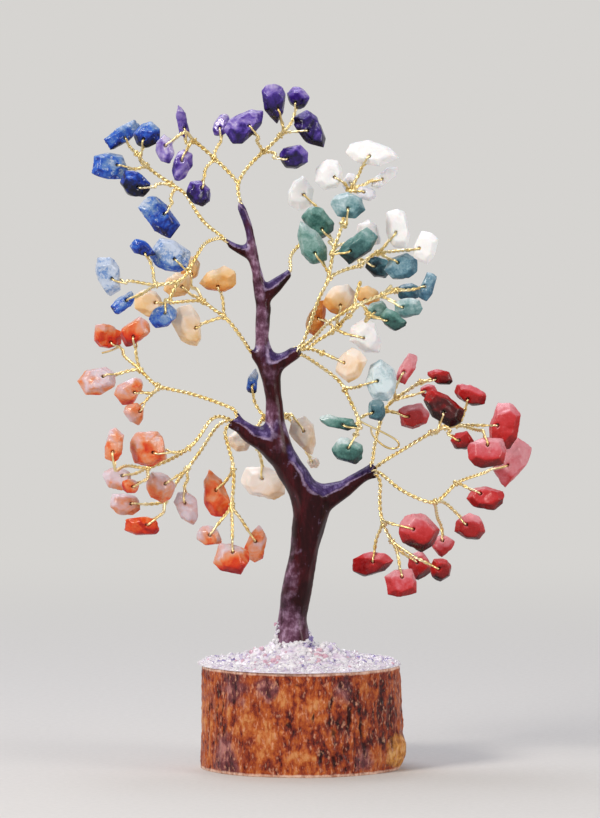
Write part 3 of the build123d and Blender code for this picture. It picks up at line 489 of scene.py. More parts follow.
class TREE_OT_log(bpy.types.Operator):
    """Give the log its sawn wood and its fibrous, varnished bark"""
    bl_idname = "gemtree.log"
    bl_label = "Log and bark"

    def execute(self, context):
        sizes = context.scene.gemtree_log
        coat(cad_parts["log_slice"], make_sawn_wood())
        bark = cad_copy("bark_band", "fibrous_bark")
        faceted = tree_of(bark)
        remesh(bark, sizes.bark_grain, 2)
        low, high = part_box("bark_band")
        places = places_of(bark)
        x, y, z = places.T
        reach = np.hypot(x, y)
        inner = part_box("log_slice")[1].x
        # only the outer face moves, and it is held at its upper and lower edges
        outside = faded(reach, inner + 0.5 * MM, inner + 1.5 * MM)
        edge = np.minimum(z - low.z, high.z - z)
        hold = outside * faded(edge, 0, 1.4 * MM)

        around = np.arctan2(x, -y) * (high.x - low.x) / 2
        flat = np.stack([around, np.zeros(len(around)), z], axis=1)
        ribs = reliefs(places, 1.5, 1, 4, (1, 1, 0.2))
        knobs = reliefs(places, 1.1, 3, 2, (1, 1, 0.6))
        # the cracks wander from side to side as they go up
        wander = reliefs(flat, 3.5, 8, 3, (0.1, 1, 1)) * 0.8 * MM
        furrows = faded(-ribs, 0.45, 0.85) * 0.4
        for spot, foot, head, width in crack_rows:
            aside = 1 - faded(np.abs(around + wander - spot * MM), width * 0.2 * MM, width * MM)
            span = np.minimum(z - foot * MM, head * MM - z)
            furrows = np.maximum(furrows, aside * faded(span, 0, 3.5 * MM))
        swell = np.hypot(around - 35 * MM, (z - 5 * MM) * 1.2)
        move = hold * ((ribs - 0.3) * sizes.fibre_depth + knobs * 0.2 * MM
                       - furrows * sizes.crack_depth
                       + (1 - faded(swell, 1 * MM, 6.5 * MM)) * sizes.bulge)
        push = roundness(faceted, places, high.x * 2, high.z / 2)
        places[:, :2] *= (1 + outside * push + move / reach)[:, None]
        set_places(bark, places)

        blur = reliefs(places, 2.5, 9, 3) * 0.3
        covers = {}
        for kind, rows in blotch_rows.items():
            covers[kind] = np.zeros(len(places))
            for spot, up, spread in rows:
                away = np.hypot(around - spot * MM, z - up * MM) / (spread * MM) + blur
                covers[kind] = np.maximum(covers[kind], 1 - faded(away, 0.3, 1.15))
        # the furrows' dark colour is partly the cracks' own and partly painted shade in the sunken
        # bark
        set_values(bark, {
            "furrow_shade": furrows * hold, "rib": 0.5 + ribs * 0.5,
            "cut": 1 - faded(edge, sizes.cut_edge * 0.6, sizes.cut_edge),
            "grey": 0.15 + covers["grey"] * 0.75, "amber": covers["amber"] * 0.85,
            "light": 0.5 + (covers["light"] - covers["dark"]) * 0.5})
        dress(bark, make_bark(), "bark", "bark_band")
        return {"FINISHED"}


class TREE_PG_crust(bpy.types.PropertyGroup):
    """Sizes of the crust's crystals."""
    count: bpy.props.IntProperty(
        name="Crystals", description="Number of loose crystals in the crust",
        default=1700, min=0, max=5000)
    size: length("Crystal size", "Length of a middling crystal", 1.8, 0.3)


# The crust's crystals: how common each kind is, and its darker and its paler colour
crystal_kinds = {
    "milky": (14, "#e4dfec", "#faf8fc"), "lilac": (3, "#c2b6da", "#ded6ec"),
    "violet": (0.3, "#7266a6", "#a89ccf"), "rose": (0.5, "#cc96ae", "#ecccd9"),
}

# Heaps in the crust: right and back from the log's middle, height and reach, in millimetres
heap_rows = ((-6.2, -0.8, 2, 4), (6.6, -2.6, 1.4, 3.5), (-11.5, -1, 0.6, 4),
             (-1.5, -5.5, 1.8, 5), (-1, 6, 1.6, 5.5))

# Drifts of one kind of crystal: the kind, then right, back and reach in millimetres
drift_rows = (
    ("violet", -19.5, -2, 4), ("rose", -12.5, -5, 5), ("rose", -6, -15, 4), ("violet", 3.5, -2, 3),
    ("rose", 5, -8, 3.5), ("violet", 9, -9, 2.5), ("violet", 16, -4, 3.5), ("violet", 21, 5, 4),
    ("rose", 12, 12, 5), ("violet", -8, 15, 6), ("milky", -7, 0, 4),
)

# Crystals that climb the trunk's foot: how many, the side in degrees from the right and how far
# round they spread, and how high they reach above the log; and where all start, in millimetres
climb_rows = ((450, 0, 180, 6), (70, 180, 16, 10.5), (50, -15, 20, 8.5))
lowest_climb = 1.6

# The size of the faces of the bed's mesh, and how far off a ray starts that looks for the
# bed's top and for the trunk's side
bed_grain = 0.45 * MM
ray_height = 9 * MM
ray_reach = 12 * MM


def crystal_shapes(dice):
    """A few broken crystals, one across, and the faces that they share."""
    shapes = []
    for k in range(6):
        bpy.ops.mesh.primitive_ico_sphere_add(subdivisions=1, radius=0.5)
        shape = bpy.context.object
        shapes.append([vertex.co * (0.75 + 0.45 * dice.random()) * Vector((1, 0.75, 0.65))
                       for vertex in shape.data.vertices])
        faces = [tuple(face.vertices) for face in shape.data.polygons]
        bpy.data.objects.remove(shape)
    return shapes, faces


def drop(piles, shapes, dice, spot, up, size):
    """Add one crystal at a spot, a little sunk in."""
    size *= 0.5 + dice.random() ** 2
    spin = Matrix.Rotation(dice.uniform(0, 2 * pi), 3, "Z")
    for axis in ("X", "Y"):
        spin = spin @ Matrix.Rotation(dice.uniform(-1.2, 1.2), 3, axis)
    weights = {kind: row[0] for kind, row in crystal_kinds.items()}
    for kind, right, back, reach in drift_rows:
        away = Vector((spot.x - right * MM, spot.y - back * MM)).length
        weights[kind] += 16 * max(0, 1 - away / (reach * MM))
    kind = dice.choices(list(weights), weights.values())[0]
    shape = dice.choice(shapes)
    piles[kind].append([spin @ (corner * size) + spot + up * size * 0.05 for corner in shape])


class TREE_OT_crust(bpy.types.Operator):
    """Strew crushed white, lilac and pink crystals over the log's top and the trunk's foot"""
    bl_idname = "gemtree.crust"
    bl_label = "Crust of crystals"

    def execute(self, context):
        sizes = context.scene.gemtree_crust
        low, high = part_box("stone_crust")
        bed = cad_copy("stone_crust", "crust_bed")
        faceted = tree_of(bed)
        remesh(bed, bed_grain, 4)
        places = places_of(bed)
        x, y, z = places.T
        # the bed's rim is round but ragged, and the bed thins out towards it
        out = np.hypot(x, y) / high.x
        push = roundness(faceted, places, high.x * 2, low.z + 0.3 * MM)
        ragged = reliefs(places, 1.8, 15, 2) * 0.25 * MM / high.x
        places[:, :2] *= (1 + faded(out, 0.8, 0.95) * (push + ragged))[:, None]
        above = np.maximum(0, z - low.z)
        z += above * (np.interp(out, (0.3, 0.55, 0.8, 1), (0.9, 0.5, 0.34, 0.3)) - 1)
        rise = faded(above, 0.5 * MM, 1.6 * MM)
        for right, back, height, spread in heap_rows:
            away = np.hypot(x - right * MM, y - back * MM)
            z += rise * (1 - faded(away, 0, spread * MM)) * height * MM
        for axis, seed in enumerate((4, 5, 6)):
            places[:, axis] += rise * reliefs(places, 1.2, seed) * 0.35 * MM
        set_places(bed, places)
        ground = tree_of(bed)
        trunk = tree_of(bpy.data.objects["moulded_trunk"])

        dice = Random(7)
        piles = {kind: [] for kind in crystal_kinds}
        shapes, faces = crystal_shapes(dice)
        reach = (high.x - low.x) / 2
        for k in range(sizes.count):
            turn = dice.uniform(0, 2 * pi)
            out = reach * dice.uniform(0.02, 0.98) ** 0.5
            start = Vector((out * cos(turn), out * sin(turn), high.z + ray_height))
            spot = ground.ray_cast(start, Vector((0, 0, -1)))[0]
            if spot is not None:
                size = sizes.size * np.interp(out / reach, (0.4, 0.95), (1, 0.5))
                drop(piles, shapes, dice, spot, Vector((0, 0, 1)), size)
        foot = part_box("core_bundle")
        centre = Vector(((foot[0].x + foot[1].x) / 2, 0, 0))
        for count, side, spread, top in climb_rows:
            for k in range(count):
                turn = radians(side + spread * dice.uniform(-1, 1))
                way = Vector((cos(turn), sin(turn), 0))
                rise = (lowest_climb + (top - lowest_climb) * dice.random() ** 1.3) * MM
                start = centre + way * ray_reach + Vector((0, 0, low.z + rise))
                spot = trunk.ray_cast(start, -way)[0]
                if spot is not None:
                    drop(piles, shapes, dice, spot, way, sizes.size * 0.75)

        for kind, pile in piles.items():
            name = kind + "_crystals"
            stops = list(zip((0.3, 0.6), crystal_kinds[kind][1:]))
            mesh = bpy.data.meshes.new(name)
            mesh.from_pydata(
                [tuple(corner) for crystal in pile for corner in crystal], [],
                [tuple(corner + k * len(shapes[0]) for corner in face)
                 for k in range(len(pile)) for face in faces])
            crystals = new_piece(name, mesh)
            dress(crystals, crystal_material("crushed_" + name, stops, 0.1), "crushed_stone")
            for face in crystals.data.polygons:
                face.use_smooth = False
        stops = ((0.3, "#bca4c0"), (0.42, "#dccfe2"), (0.55, "#f0ebf5"), (0.7, "#faf8fc"))
        dress(bed, crystal_material("crushed_crystal_bed", stops, 0.03), "crushed_stone",
              "stone_crust")
        return {"FINISHED"}


# The trunk

class TREE_PG_trunk(bpy.types.PropertyGroup):
    """Sizes of the clay's surface."""
    grain: length("Grain", "Size of the clay mesh's faces", 0.36, 0.2)
    lump_height: length(
        "Lump height", "Height of the soft lumps that fingers leave in the clay", 0.34)
    collar: length("Collar", "Radius of the clay that creeps up each wire", 0.78, 0.5)


# Where the front of the clay gets each painted sheen, violet for a painted reflection of the sky
# and mauve for painted highlights: right and up, and how far it reaches, in millimetres, and how
# strongly
painted_sheen_rows = {
    "violet": ((-14.4, 139, 2.4, 0.9), (-13.4, 134, 2, 0.6), (-7.4, 104, 2, 0.5),
               (-6, 85.5, 1.6, 0.6)),
    "mauve_highlight": ((-12, 130, 2.2, 0.95), (-11.2, 125.5, 2, 1), (-10.3, 119.5, 2, 0.85),
              (-9.6, 114, 1.9, 0.9), (-9.6, 109, 2.8, 1), (-7.4, 99, 2, 0.5),
              (-8, 87.6, 2.6, 1), (-8.8, 92, 1.8, 0.5), (-5.1, 81, 1.4, 0.3),
              (-3.4, 56, 2.6, 0.5), (-3.8, 48, 3.2, 0.75), (-4.4, 41, 3.4, 0.7),
              (-3.6, 34, 5.5, 1), (2.5, 33, 2.5, 0.6)),
}


def fill_creases(piece, rounds, wear, share=1):
    """Smooth a piece, or a share of each place, so that its creases fill and its ridges wear."""
    edges = np.empty(len(piece.data.edges) * 2, dtype=int)
    piece.data.edges.foreach_get("vertices", edges)
    low, high = edges[::2], edges[1::2]
    places = places_of(piece)
    count = np.bincount(edges, minlength=len(places))[:, None]
    for k in range(rounds):
        if k % 5 == 0:
            set_places(piece, places)
            normals = places_of(piece, "normal")
        total = np.stack([
            np.bincount(low, places[high, axis], len(places))
            + np.bincount(high, places[low, axis], len(places)) for axis in range(3)], axis=1)
        shift = total / count - places
        outward = (shift * normals).sum(axis=1)
        places += shift * (np.where(outward > 0, 0.6, 0.6 * wear) * share)[:, None]
    set_places(piece, places)


def add_collar(foot, mouth, ahead, radius, past=1.3 * MM):
    """A short sleeve of clay round a wire, from its foot to a little past its mouth."""
    end = mouth + (ahead - mouth).normalized() * past
    way = end - foot
    bpy.ops.mesh.primitive_cone_add(
        vertices=12, radius1=radius * 1.15, radius2=radius * 0.72, depth=way.length,
        location=(foot + end) / 2, rotation=way.to_track_quat("Z", "Y").to_euler())
    return bpy.context.object


class TREE_OT_trunk(bpy.types.Operator):
    """Smooth the trunk into one moulded piece that flows into its stubs and round its wires"""
    bl_idname = "gemtree.trunk"
    bl_label = "Clay trunk"

    def execute(self, context):
        sizes = context.scene.gemtree_trunk
        trunk = cad_copy("trunk_clay", "moulded_trunk")
        surface = tree_of(trunk)
        pieces = [trunk]
        for node in wire_nodes:
            stem = main_stem([points for points, sides in wire_parts(node)], surface)
            pieces.append(add_collar(*(Vector(spot) for spot in stem[:3]), sizes.collar))
        trunk = joined(pieces, "moulded_trunk")
        remesh(trunk, sizes.grain, 3)
        fill_creases(trunk, 240, 0.06)
        # the fold along the stem's right side, above the fork, is worked flat
        x, z = places_of(trunk).T[::2]
        along = z - np.clip(z, 81 * MM, 96 * MM)
        fold = 1 - faded(np.hypot(x + 3.5 * MM, along), 2 * MM, 4.5 * MM)
        fill_creases(trunk, 90, 0.7, fold * (places_of(trunk, "normal")[:, 0] > 0))
        places = places_of(trunk)
        lumps = reliefs(places, 5.5, 11, 2, (1, 1, 0.6)) * sizes.lump_height
        set_places(trunk, places + places_of(trunk, "normal") * lumps[:, None])
        smooth(trunk, 4)

        places = places_of(trunk)
        x, z = places.T[::2]
        normals = places_of(trunk, "normal")
        patch = reliefs(places, 4, 12, 3, (1, 1, 0.5))
        # clay that faces up gets a painted violet reflection of the sky, and the side that faces
        # the key lamp painted mauve highlights
        facing_the_light = normals[:, 2] * 0.4 - normals[:, 0] + patch * 0.6
        painted_clay_sheens = {"violet": faded(normals[:, 2] + patch * 0.06, 0.22, 0.45),
                "mauve_highlight": faded(facing_the_light, 0.7, 1.3) * 0.3}
        for name, rows in painted_sheen_rows.items():
            for right, up, spread, share in rows:
                away = np.hypot(x - right * MM, (z - up * MM) * 0.6) / (spread * MM)
                away += patch * 0.4
                painted_clay_sheens[name] = np.maximum(painted_clay_sheens[name], (1 - faded(away, 0.1, 1.4)) * share)
        # a painted highlight runs along the line where a horn's violet top turns to its dark side
        edge = normals[:, 2] + patch * 0.04
        lip_highlight = faded(edge, 0.14, 0.26) * (1 - faded(edge, 0.28, 0.4)) * 0.85
        # but not on the slope between the left horn and the stem, nor low on the trunk
        slope = np.hypot(x + 5 * MM, z - 79.5 * MM)
        bare = faded(slope, 3 * MM, 5 * MM) * faded(z, 60 * MM, 74 * MM)
        set_values(trunk, {**painted_clay_sheens, "lip_highlight": lip_highlight * bare})
        dress(trunk, make_clay(), "moulded_clay", "trunk_clay")
        coat(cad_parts["core_bundle"], make_brass())
        return {"FINISHED"}


# The stone chips: each chip's place in the photograph in pixels, its tone from dark 0 to pale 1,
# how much paler it is at its right and at its top than at its left and foot, the paler top partly
# the stone's own zoning and partly painted light from above, and for a green stone how blue it is
chip_tones = {
    "crest_amethyst": (
        (274, 104, 0.3, 0, 0.6), (298, 97, 0.34, 0, 0.3), (311, 132, 0.2, 0, 0.1),
        (293, 159, 0.3, 0.35, 0.1), (246, 127, 0.42, -0.2, 0.4), (221, 124, 0.58, -0.1, 0.1),
        (182, 121, 0.6, -0.2, 0.1), (165, 150, 0.76, -0.15, 0.3), (181, 167, 0.58, 0.2, -0.2),
        (199, 195, 0.26, 0, 0.15)),
    "lapis_lapis": (
        (122, 132, 0.5, 0.1, 0.15), (147, 135, 0.38, 0, 0.55), (110, 164, 0.62, 0.35, 0),
        (135, 185, 0.14, 0.1, 0.45), (160, 218, 0.52, -0.5, 0.1), (145, 252, 0.42, -0.35, 0.1),
        (171, 258, 0.78, 0.25, 0.2), (111, 280, 1, 0.2, -0.2), (124, 306, 0.66, 0, 0.1),
        (164, 319, 0.62, 0.2, 0)),
    "cream_left_cream": (
        (219, 283, 0.46, 0, 0.45), (191, 269, 0.5, 0.1, 0.1), (179, 286, 0.58, -0.1, 0.1),
        (150, 305, 0.66, 0, 0.1), (190, 331, 0.74, -0.1, 0.1)),
    "carnelian_upper_carnelian": (
        (105, 335, 0.4, -0.1, 0.5), (134, 331, 0.4, 0.15, 0.55), (96, 380, 0.78, 0.3, 0.4),
        (130, 391, 0.6, -0.1, 0.3), (134, 414, 0.6, -0.1, -0.5)),
    "carnelian_left_carnelian": (
        (115, 448, 0.56, 0.1, 0.3), (148, 451, 0.5, 0.15, 0.15), (117, 479, 0.9, -0.1, 0.2),
        (131, 488, 0.4, 0.15, 0.1)),
    "carnelian_lower_carnelian": (
        (124, 505, 0.74, -0.2, 0.2), (143, 527, 0.26, 0, 0.15), (160, 488, 0.74, 0.1, 0.35),
        (187, 510, 0.98, 0, 0.1)),
    "carnelian_hanging_carnelian": (
        (215, 495, 0.36, 0, 0.1), (209, 538, 0.76, -0.3, 0.8), (232, 560, 0.42, 0, 0.8),
        (256, 545, 0.52, 0, 0.2)),
    "rear_left_cream": ((239, 442, 0.86, 0, 0.1), (264, 484, 0.95, -0.25, 0.35)),
    "rear_left_lapis": ((252, 382, 0.66, 0, 0.9),),
    "rear_right_cream": ((304, 438, 0.8, 0, 0.1), (313, 464, 0.85, 0, 0.1)),
    "quartz_rear_quartz": ((301, 191, 1.05, 0, 0),),
    "green_upper_green": (
        (318, 222, 0.48, -0.15, 0.15), (311, 245, 0.72, -0.1, 0.1),
        (347, 208, 0.68, -0.2, 0.1, 0.5), (357, 249, 0.42, 0, 0.45, 0.2),
        (401, 267, 0.56, -0.1, -0.1, 0.85), (378, 267, 0.26, 0.4, 0, 0.6)),
    "green_upper_quartz": (
        (373, 155, 0.84, 0, -0.1), (329, 176, 0.82, 0, -0.15), (349, 181, 0.55, 0, 0.2),
        (385, 177, 0.76, 0.1, -0.1), (366, 195, 0.45, 0, -0.2), (370, 235, 0.8, 0, 0.1),
        (397, 230, 0.9, 0, 0), (424, 250, 0.9, 0, 0)),
    "green_lower_green": (
        (427, 288, 0.56, 0, 0.1, 1), (407, 310, 0.72, 0, 0.15, 0.3),
        (377, 312, 0.62, -0.1, 0.1), (392, 323, 0.42, -0.1, 0.3), (408, 292, 0.42, 0, 0.1, 0.8)),
    "cream_centre_cream": (
        (339, 300, 0.68, 0.3, 0.8), (317, 316, 0.28, -0.4, 0.1), (367, 297, 0.5, 0.1, 0.2),
        (350, 366, 0.78, 0, 0.15)),
    "cream_centre_quartz": ((367, 339, 0.78, 0, -0.1),),
    "teal_green": (
        (381, 382, 1, 0.1, 0, 0.7), (376, 411, 0.58, 0, 0.15, 0.7),
        (336, 424, 0.52, -0.4, 0.3), (347, 452, 0.5, -0.1, 0.6)),
    "jasper_upper_jasper": (
        (407, 368, 0.86, 0, 0.1), (440, 377, 0.38, -0.25, 0.15), (428, 390, 0.55, -0.1, 0.25),
        (414, 415, 0.74, 0.2, 0.2)),
    "jasper_right_jasper": (
        (442, 408, 0.12, 0, 0.25), (470, 395, 0.52, 0, 0.25), (504, 426, 0.58, -0.1, 0.35),
        (462, 441, 0.42, 0, 0.1), (486, 453, 0.64, 0, 0.45)),
    "jasper_lower_jasper": (
        (513, 462, 0.94, 0, 0.1), (486, 499, 0.48, -0.15, 0.15), (470, 527, 0.6, 0, 0.4),
        (444, 545, 0.7, 0, 0.25)),
    "jasper_bottom_jasper": (
        (418, 532, 0.56, -0.15, 0.6), (373, 564, 0.5, 0, 0.25), (420, 566, 0.54, 0, 0.45),
        (440, 570, 0.38, 0, 0.15), (401, 584, 0.7, 0, 0.25)),
}

# How a stone takes tumbling: rounds of smoothing, number of ground facets and how near to the
# middle they come; and how much paler its facets that face up are painted, a painted reflection of
# the light from above
stone_wear = {
    "amethyst": (2, 5, 0.78, 0.28), "lapis": (1, 6, 0.76, 0.24), "cream": (3, 5, 0.8, 0.12),
    "carnelian": (2, 6, 0.78, 0.16), "quartz": (4, 4, 0.84, 0.06), "green": (2, 5, 0.8, 0.2),
    "jasper": (1, 5, 0.74, 0.34),
}


class TREE_PG_chips(bpy.types.PropertyGroup):
    """How the stone chips are tumbled."""
    grain: length("Grain", "Size of the chips' mesh faces", 0.28, 0.15)
    spare: bpy.props.FloatProperty(
        name="Spare", description="How much larger a chip starts than it ends, as a factor",
        default=1.09, min=1, max=1.2, subtype="FACTOR")
    dent_depth: length("Dent depth", "Depth of the shallow dents", 0.34)


def tumble(chip, dice, sizes, rounding, facets, nearest):
    """Round a chip's edges, then grind facets and shallow dents into it."""
    places = places_of(chip)
    middle = (places.max(0) + places.min(0)) / 2
    set_places(chip, middle + (places - middle) * sizes.spare)
    remesh(chip, sizes.grain, rounding)
    places = places_of(chip)
    for k in range(facets):
        way = np.array([dice.gauss(0, 1) for axis in range(3)])
        way /= np.linalg.norm(way)
        reach = (places - middle) @ way
        over = np.maximum(0, reach - reach.max() * dice.uniform(nearest, 0.93))
        places -= np.outer(over * 0.95, way)
    dents = reliefs(places, 2.6, dice.randrange(1000), 2)
    inward = middle - places
    inward /= np.linalg.norm(inward, axis=1)[:, None]
    set_places(chip, places + inward * np.maximum(0, dents)[:, None] * sizes.dent_depth)
    smooth(chip, 1)


def tint(chip, row, painted_top_sheen):
    """Write a chip's tone and hue on it, with a painted sheen on its facets that face up."""
    tone, rightward, upward, hue = (*row[2:], 0.0)[:4]
    places = places_of(chip)
    part = (places - places.min(0)) / (places.max(0) - places.min(0)) - 0.5
    up = places_of(chip, "normal")[:, 2]
    set_values(chip, {
        "tone": tone + rightward * part[:, 0] + upward * part[:, 2] + painted_top_sheen * up,
        "hue": np.full(len(places), hue, dtype=float)})


def photo_pixel(place):
    """Where a place in the crown is seen in the photograph, which looks down a little."""
    column = PHOTO_MIDDLE + place[0] / PIXEL
    return column, PHOTO_GROUND - (place[2] + LOOK_DOWN * place[1]) / PIXEL


class TREE_OT_chips(bpy.types.Operator):
    """Tumble each drilled stone chip and give it its stone and tone"""
    bl_idname = "gemtree.chips"
    bl_label = "Stone chips"

    def execute(self, context):
        sizes = context.scene.gemtree_chips
        stones = make_stones()
        dice = Random(3)
        for name, rows in chip_tones.items():
            stone = name.split("_")[-1]
            *wear, painted_top_sheen = stone_wear[stone]
            select_only(cad_copy(name + "_chips", name + "_stones"))
            bpy.ops.object.mode_set(mode="EDIT")
            bpy.ops.mesh.select_all(action="SELECT")
            bpy.ops.mesh.separate(type="LOOSE")
            bpy.ops.object.mode_set(mode="OBJECT")
            chips = list(context.selected_objects)
            for chip in chips:
                x, y = photo_pixel(places_of(chip).mean(0))
                tumble(chip, dice, sizes, *wear)
                tint(chip, min(rows, key=lambda row: (row[0] - x) ** 2 + (row[1] - y) ** 2), painted_top_sheen)
            piece = joined(chips, name + "_stones")
            dress(piece, stones[stone], stone + "_stone", name + "_chips")
        return {"FINISHED"}


# The wires

class TREE_PG_wires(bpy.types.PropertyGroup):
    """Sizes of the twisted wire."""
    strand: length("Strand", "Radius of one strand of wire", 0.27, 0.1)
    pitch: length("Pitch", "Length of one full turn of the twist", 2.9, 1)
    step: length("Step", "Distance between the points along a strand", 0.33, 0.1)


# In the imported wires: the angle in radians under which two faces are one flat end, how near a
# loop's ends are to the twig that carries it, and how near two stems are that are one
flat_angle = 0.002
loop_gap = 1.2 * MM
same_gap = 0.1 * MM
# The shortest way between two knots on a stem
knot_gap = 2.5 * MM
# The drilled hole's reach, round which a loop keeps its own course; and where the rays that look
# for a chip's face start, how far they go, and the steps between them
hole_reach = 0.75 * MM
ray_start = 1.5 * MM
ray_length = 4 * MM
ray_step = 0.3 * MM


def wire_parts(node):
    """The middles of the rings of each plain tube in a node, from end to end, and its sides.

    A set of vertices has another order in each run, so the tubes and their ends are put in the
    order of their places.
    """
    shape = merged(node)
    near = {vertex: {edge.other_vert(vertex) for edge in vertex.link_edges}
            for vertex in shape.verts}
    left, tubes = set(shape.verts), []
    while left:
        part, edge = set(), {next(iter(left))}
        while edge:
            part |= edge
            edge = {other for vertex in edge for other in near[vertex]} - part
        left -= part
        found = []
        for face in {face for vertex in part for face in vertex.link_faces}:
            flat = set(face.verts)
            for side in face.edges:
                if len(side.link_faces) == 2 and side.calc_face_angle() < flat_angle:
                    flat |= set(side.link_faces[0].verts) | set(side.link_faces[1].verts)
            rings, seen = [flat], set(flat)
            while True:
                ring = {other for vertex in rings[-1] for other in near[vertex]} - seen
                if len(ring) != len(flat):
                    break
                rings.append(ring)
                seen |= ring
            if len(seen) == len(part):
                found.append(np.array([
                    np.mean(sorted(tuple(vertex.co) for vertex in ring), axis=0)
                    for ring in rings]))
        if not found:
            raise RuntimeError(node + " has a tube that can't be read")
        route = max(found, key=lambda route: (
            len(route), round(np.linalg.norm(route[-1] - route[0]) / MM, 3), tuple(route[0])))
        tubes.append((route, len(part) // len(route)))
    shape.free()
    return sorted(tubes, key=lambda tube: (tuple(tube[0][0]), tuple(tube[0][-1])))


def main_stem(tubes, clay):
    """The tube that starts nearest to the clay, led away from it."""
    def gaps(tube):
        return [clay.find_nearest(Vector(tube[end]))[3] for end in (0, -1)]
    stem = min((tube for tube in tubes if len(tube) > 2), key=lambda tube: min(gaps(tube)))
    start, end = gaps(stem)
    return stem if start < end else stem[::-1]


def soften(points, rounds=4, cut=0.25):
    """Round a route's corners by cutting them back a few times."""
    for k in range(rounds):
        mid = [points[0]]
        for low, high in zip(points, points[1:]):
            mid += [low + (high - low) * cut, low + (high - low) * (1 - cut)]
        points = mid[:1] + mid[2:-1] + [points[-1]]
    return points


def even(points, step):
    """Points at even steps along a route."""
    points = np.array(points)
    gaps = np.linalg.norm(np.diff(points, axis=0), axis=1)
    along = np.concatenate([[0], np.cumsum(gaps)])
    count = max(3, int(round(along[-1] / step)) + 1)
    spots = np.linspace(0, along[-1], count)
    return np.stack([np.interp(spots, along, points[:, axis]) for axis in range(3)], axis=1)


def eased(path, rounds):
    """A path with its kinks relaxed and its ends held."""
    path = np.array(path)
    for k in range(rounds):
        path[1:-1] = (path[:-2] + path[1:-1] * 2 + path[2:]) / 4
    return path


def routed(points, step, rounds):
    """A smooth path along a route, at even steps."""
    return eased(even(soften(points), step), rounds)


def unit(way):
    """A way of length one."""
    return way / max(np.linalg.norm(way), 1e-12)


def twist(path, sizes, aim):
    """Two strands twisted round a path; the first ends on the side that aim points to."""
    ways = np.gradient(path, axis=0)
    ways /= np.linalg.norm(ways, axis=1)[:, None]
    step = np.linalg.norm(path[1] - path[0])
    side = unit(aim - ways[-1] * (aim @ ways[-1]))
    first, second = [], []
    for k in range(len(path) - 1, -1, -1):
        side = unit(side - ways[k] * (side @ ways[k]))
        angle = 2 * pi * (len(path) - 1 - k) * step / sizes.pitch
        swing = (side * cos(angle) + np.cross(ways[k], side) * sin(angle)) * sizes.strand
        first.append(path[k] + swing)
        second.append(path[k] - swing)
    return first[::-1], second[::-1]


def nearest_on(paths, spot):
    """How near some paths come to a spot, the nearest of them, and the place's index on it."""
    gaps = [np.linalg.norm(path - spot, axis=1) for path in paths]
    k = int(np.argmin([gap.min() for gap in gaps]))
    return gaps[k].min(), paths[k], int(gaps[k].argmin())


def rooted(points, paths):
    """Lead a wire's start back into the stem that it grows from."""
    path, k = nearest_on(paths, points[0])[1:]
    return [path[max(0, k - 5)], path[k]] + list(points[1:])


def tail(places, strands, sizes):
    """A loose end of wire that leaves a strand where the photograph shows it."""
    spots = np.array([spot for strand in strands for spot in strand])
    seen = np.stack(photo_pixel(spots.T), axis=1)
    root = spots[np.linalg.norm(seen - places[0], axis=1).argmin()]
    points = [root + np.array((x - places[0][0], 0, places[0][1] - y)) * PIXEL
              for x, y in places]
    return routed(points, sizes.step, 3)


def laid(loop, stones, strand):
    """Lay a loop on the faces of its chip, except where it goes through the hole."""
    front, back = loop[2], loop[3]
    axis = unit(front - back)
    ring = even(soften(loop, 3, 0.2), ray_step)
    for k, spot in enumerate(ring):
        off = spot - front
        if np.linalg.norm(off - axis * (off @ axis)) < hole_reach:
            continue
        way = axis if (spot - (front + back) / 2) @ axis > 0 else -axis
        hits = [tree.ray_cast(Vector(spot + way * ray_start), Vector(-way), ray_length)
                for tree in stones]
        hits = [hit for hit in hits if hit[0] is not None]
        if hits:
            hit = min(hits, key=lambda hit: hit[3])
            ring[k] = np.array(hit[0]) + way * strand * 0.9
    return eased(ring, 2)


def wrap(path, k, sizes, dice):
    """One short strand wound round a stem at a fork."""
    way = unit(path[k + 2] - path[k - 2])
    side = unit(np.cross(way, (0.3, 0.2, 1.0)))
    over = np.cross(way, side)
    turns = dice.uniform(1.1, 1.7)
    begin = dice.uniform(0, 2 * pi)
    count = int(turns * 10)
    coil = []
    for j in range(count + 1):
        angle = begin + 2 * pi * turns * j / count
        rise = (j / count - 0.5) * turns * sizes.strand * 2.2
        coil.append(path[k] + way * rise
                    + (side * cos(angle) + over * sin(angle)) * sizes.strand * 2.5)
    return coil


# Loose wire ends: their spray's wires, and the pixels of the photograph that they pass
tail_rows = (
    ("carnelian_upper_wire", ((115, 347), (107, 351), (98, 353))),
    ("carnelian_lower_wire", ((123, 524), (116, 519), (105, 516))),
)


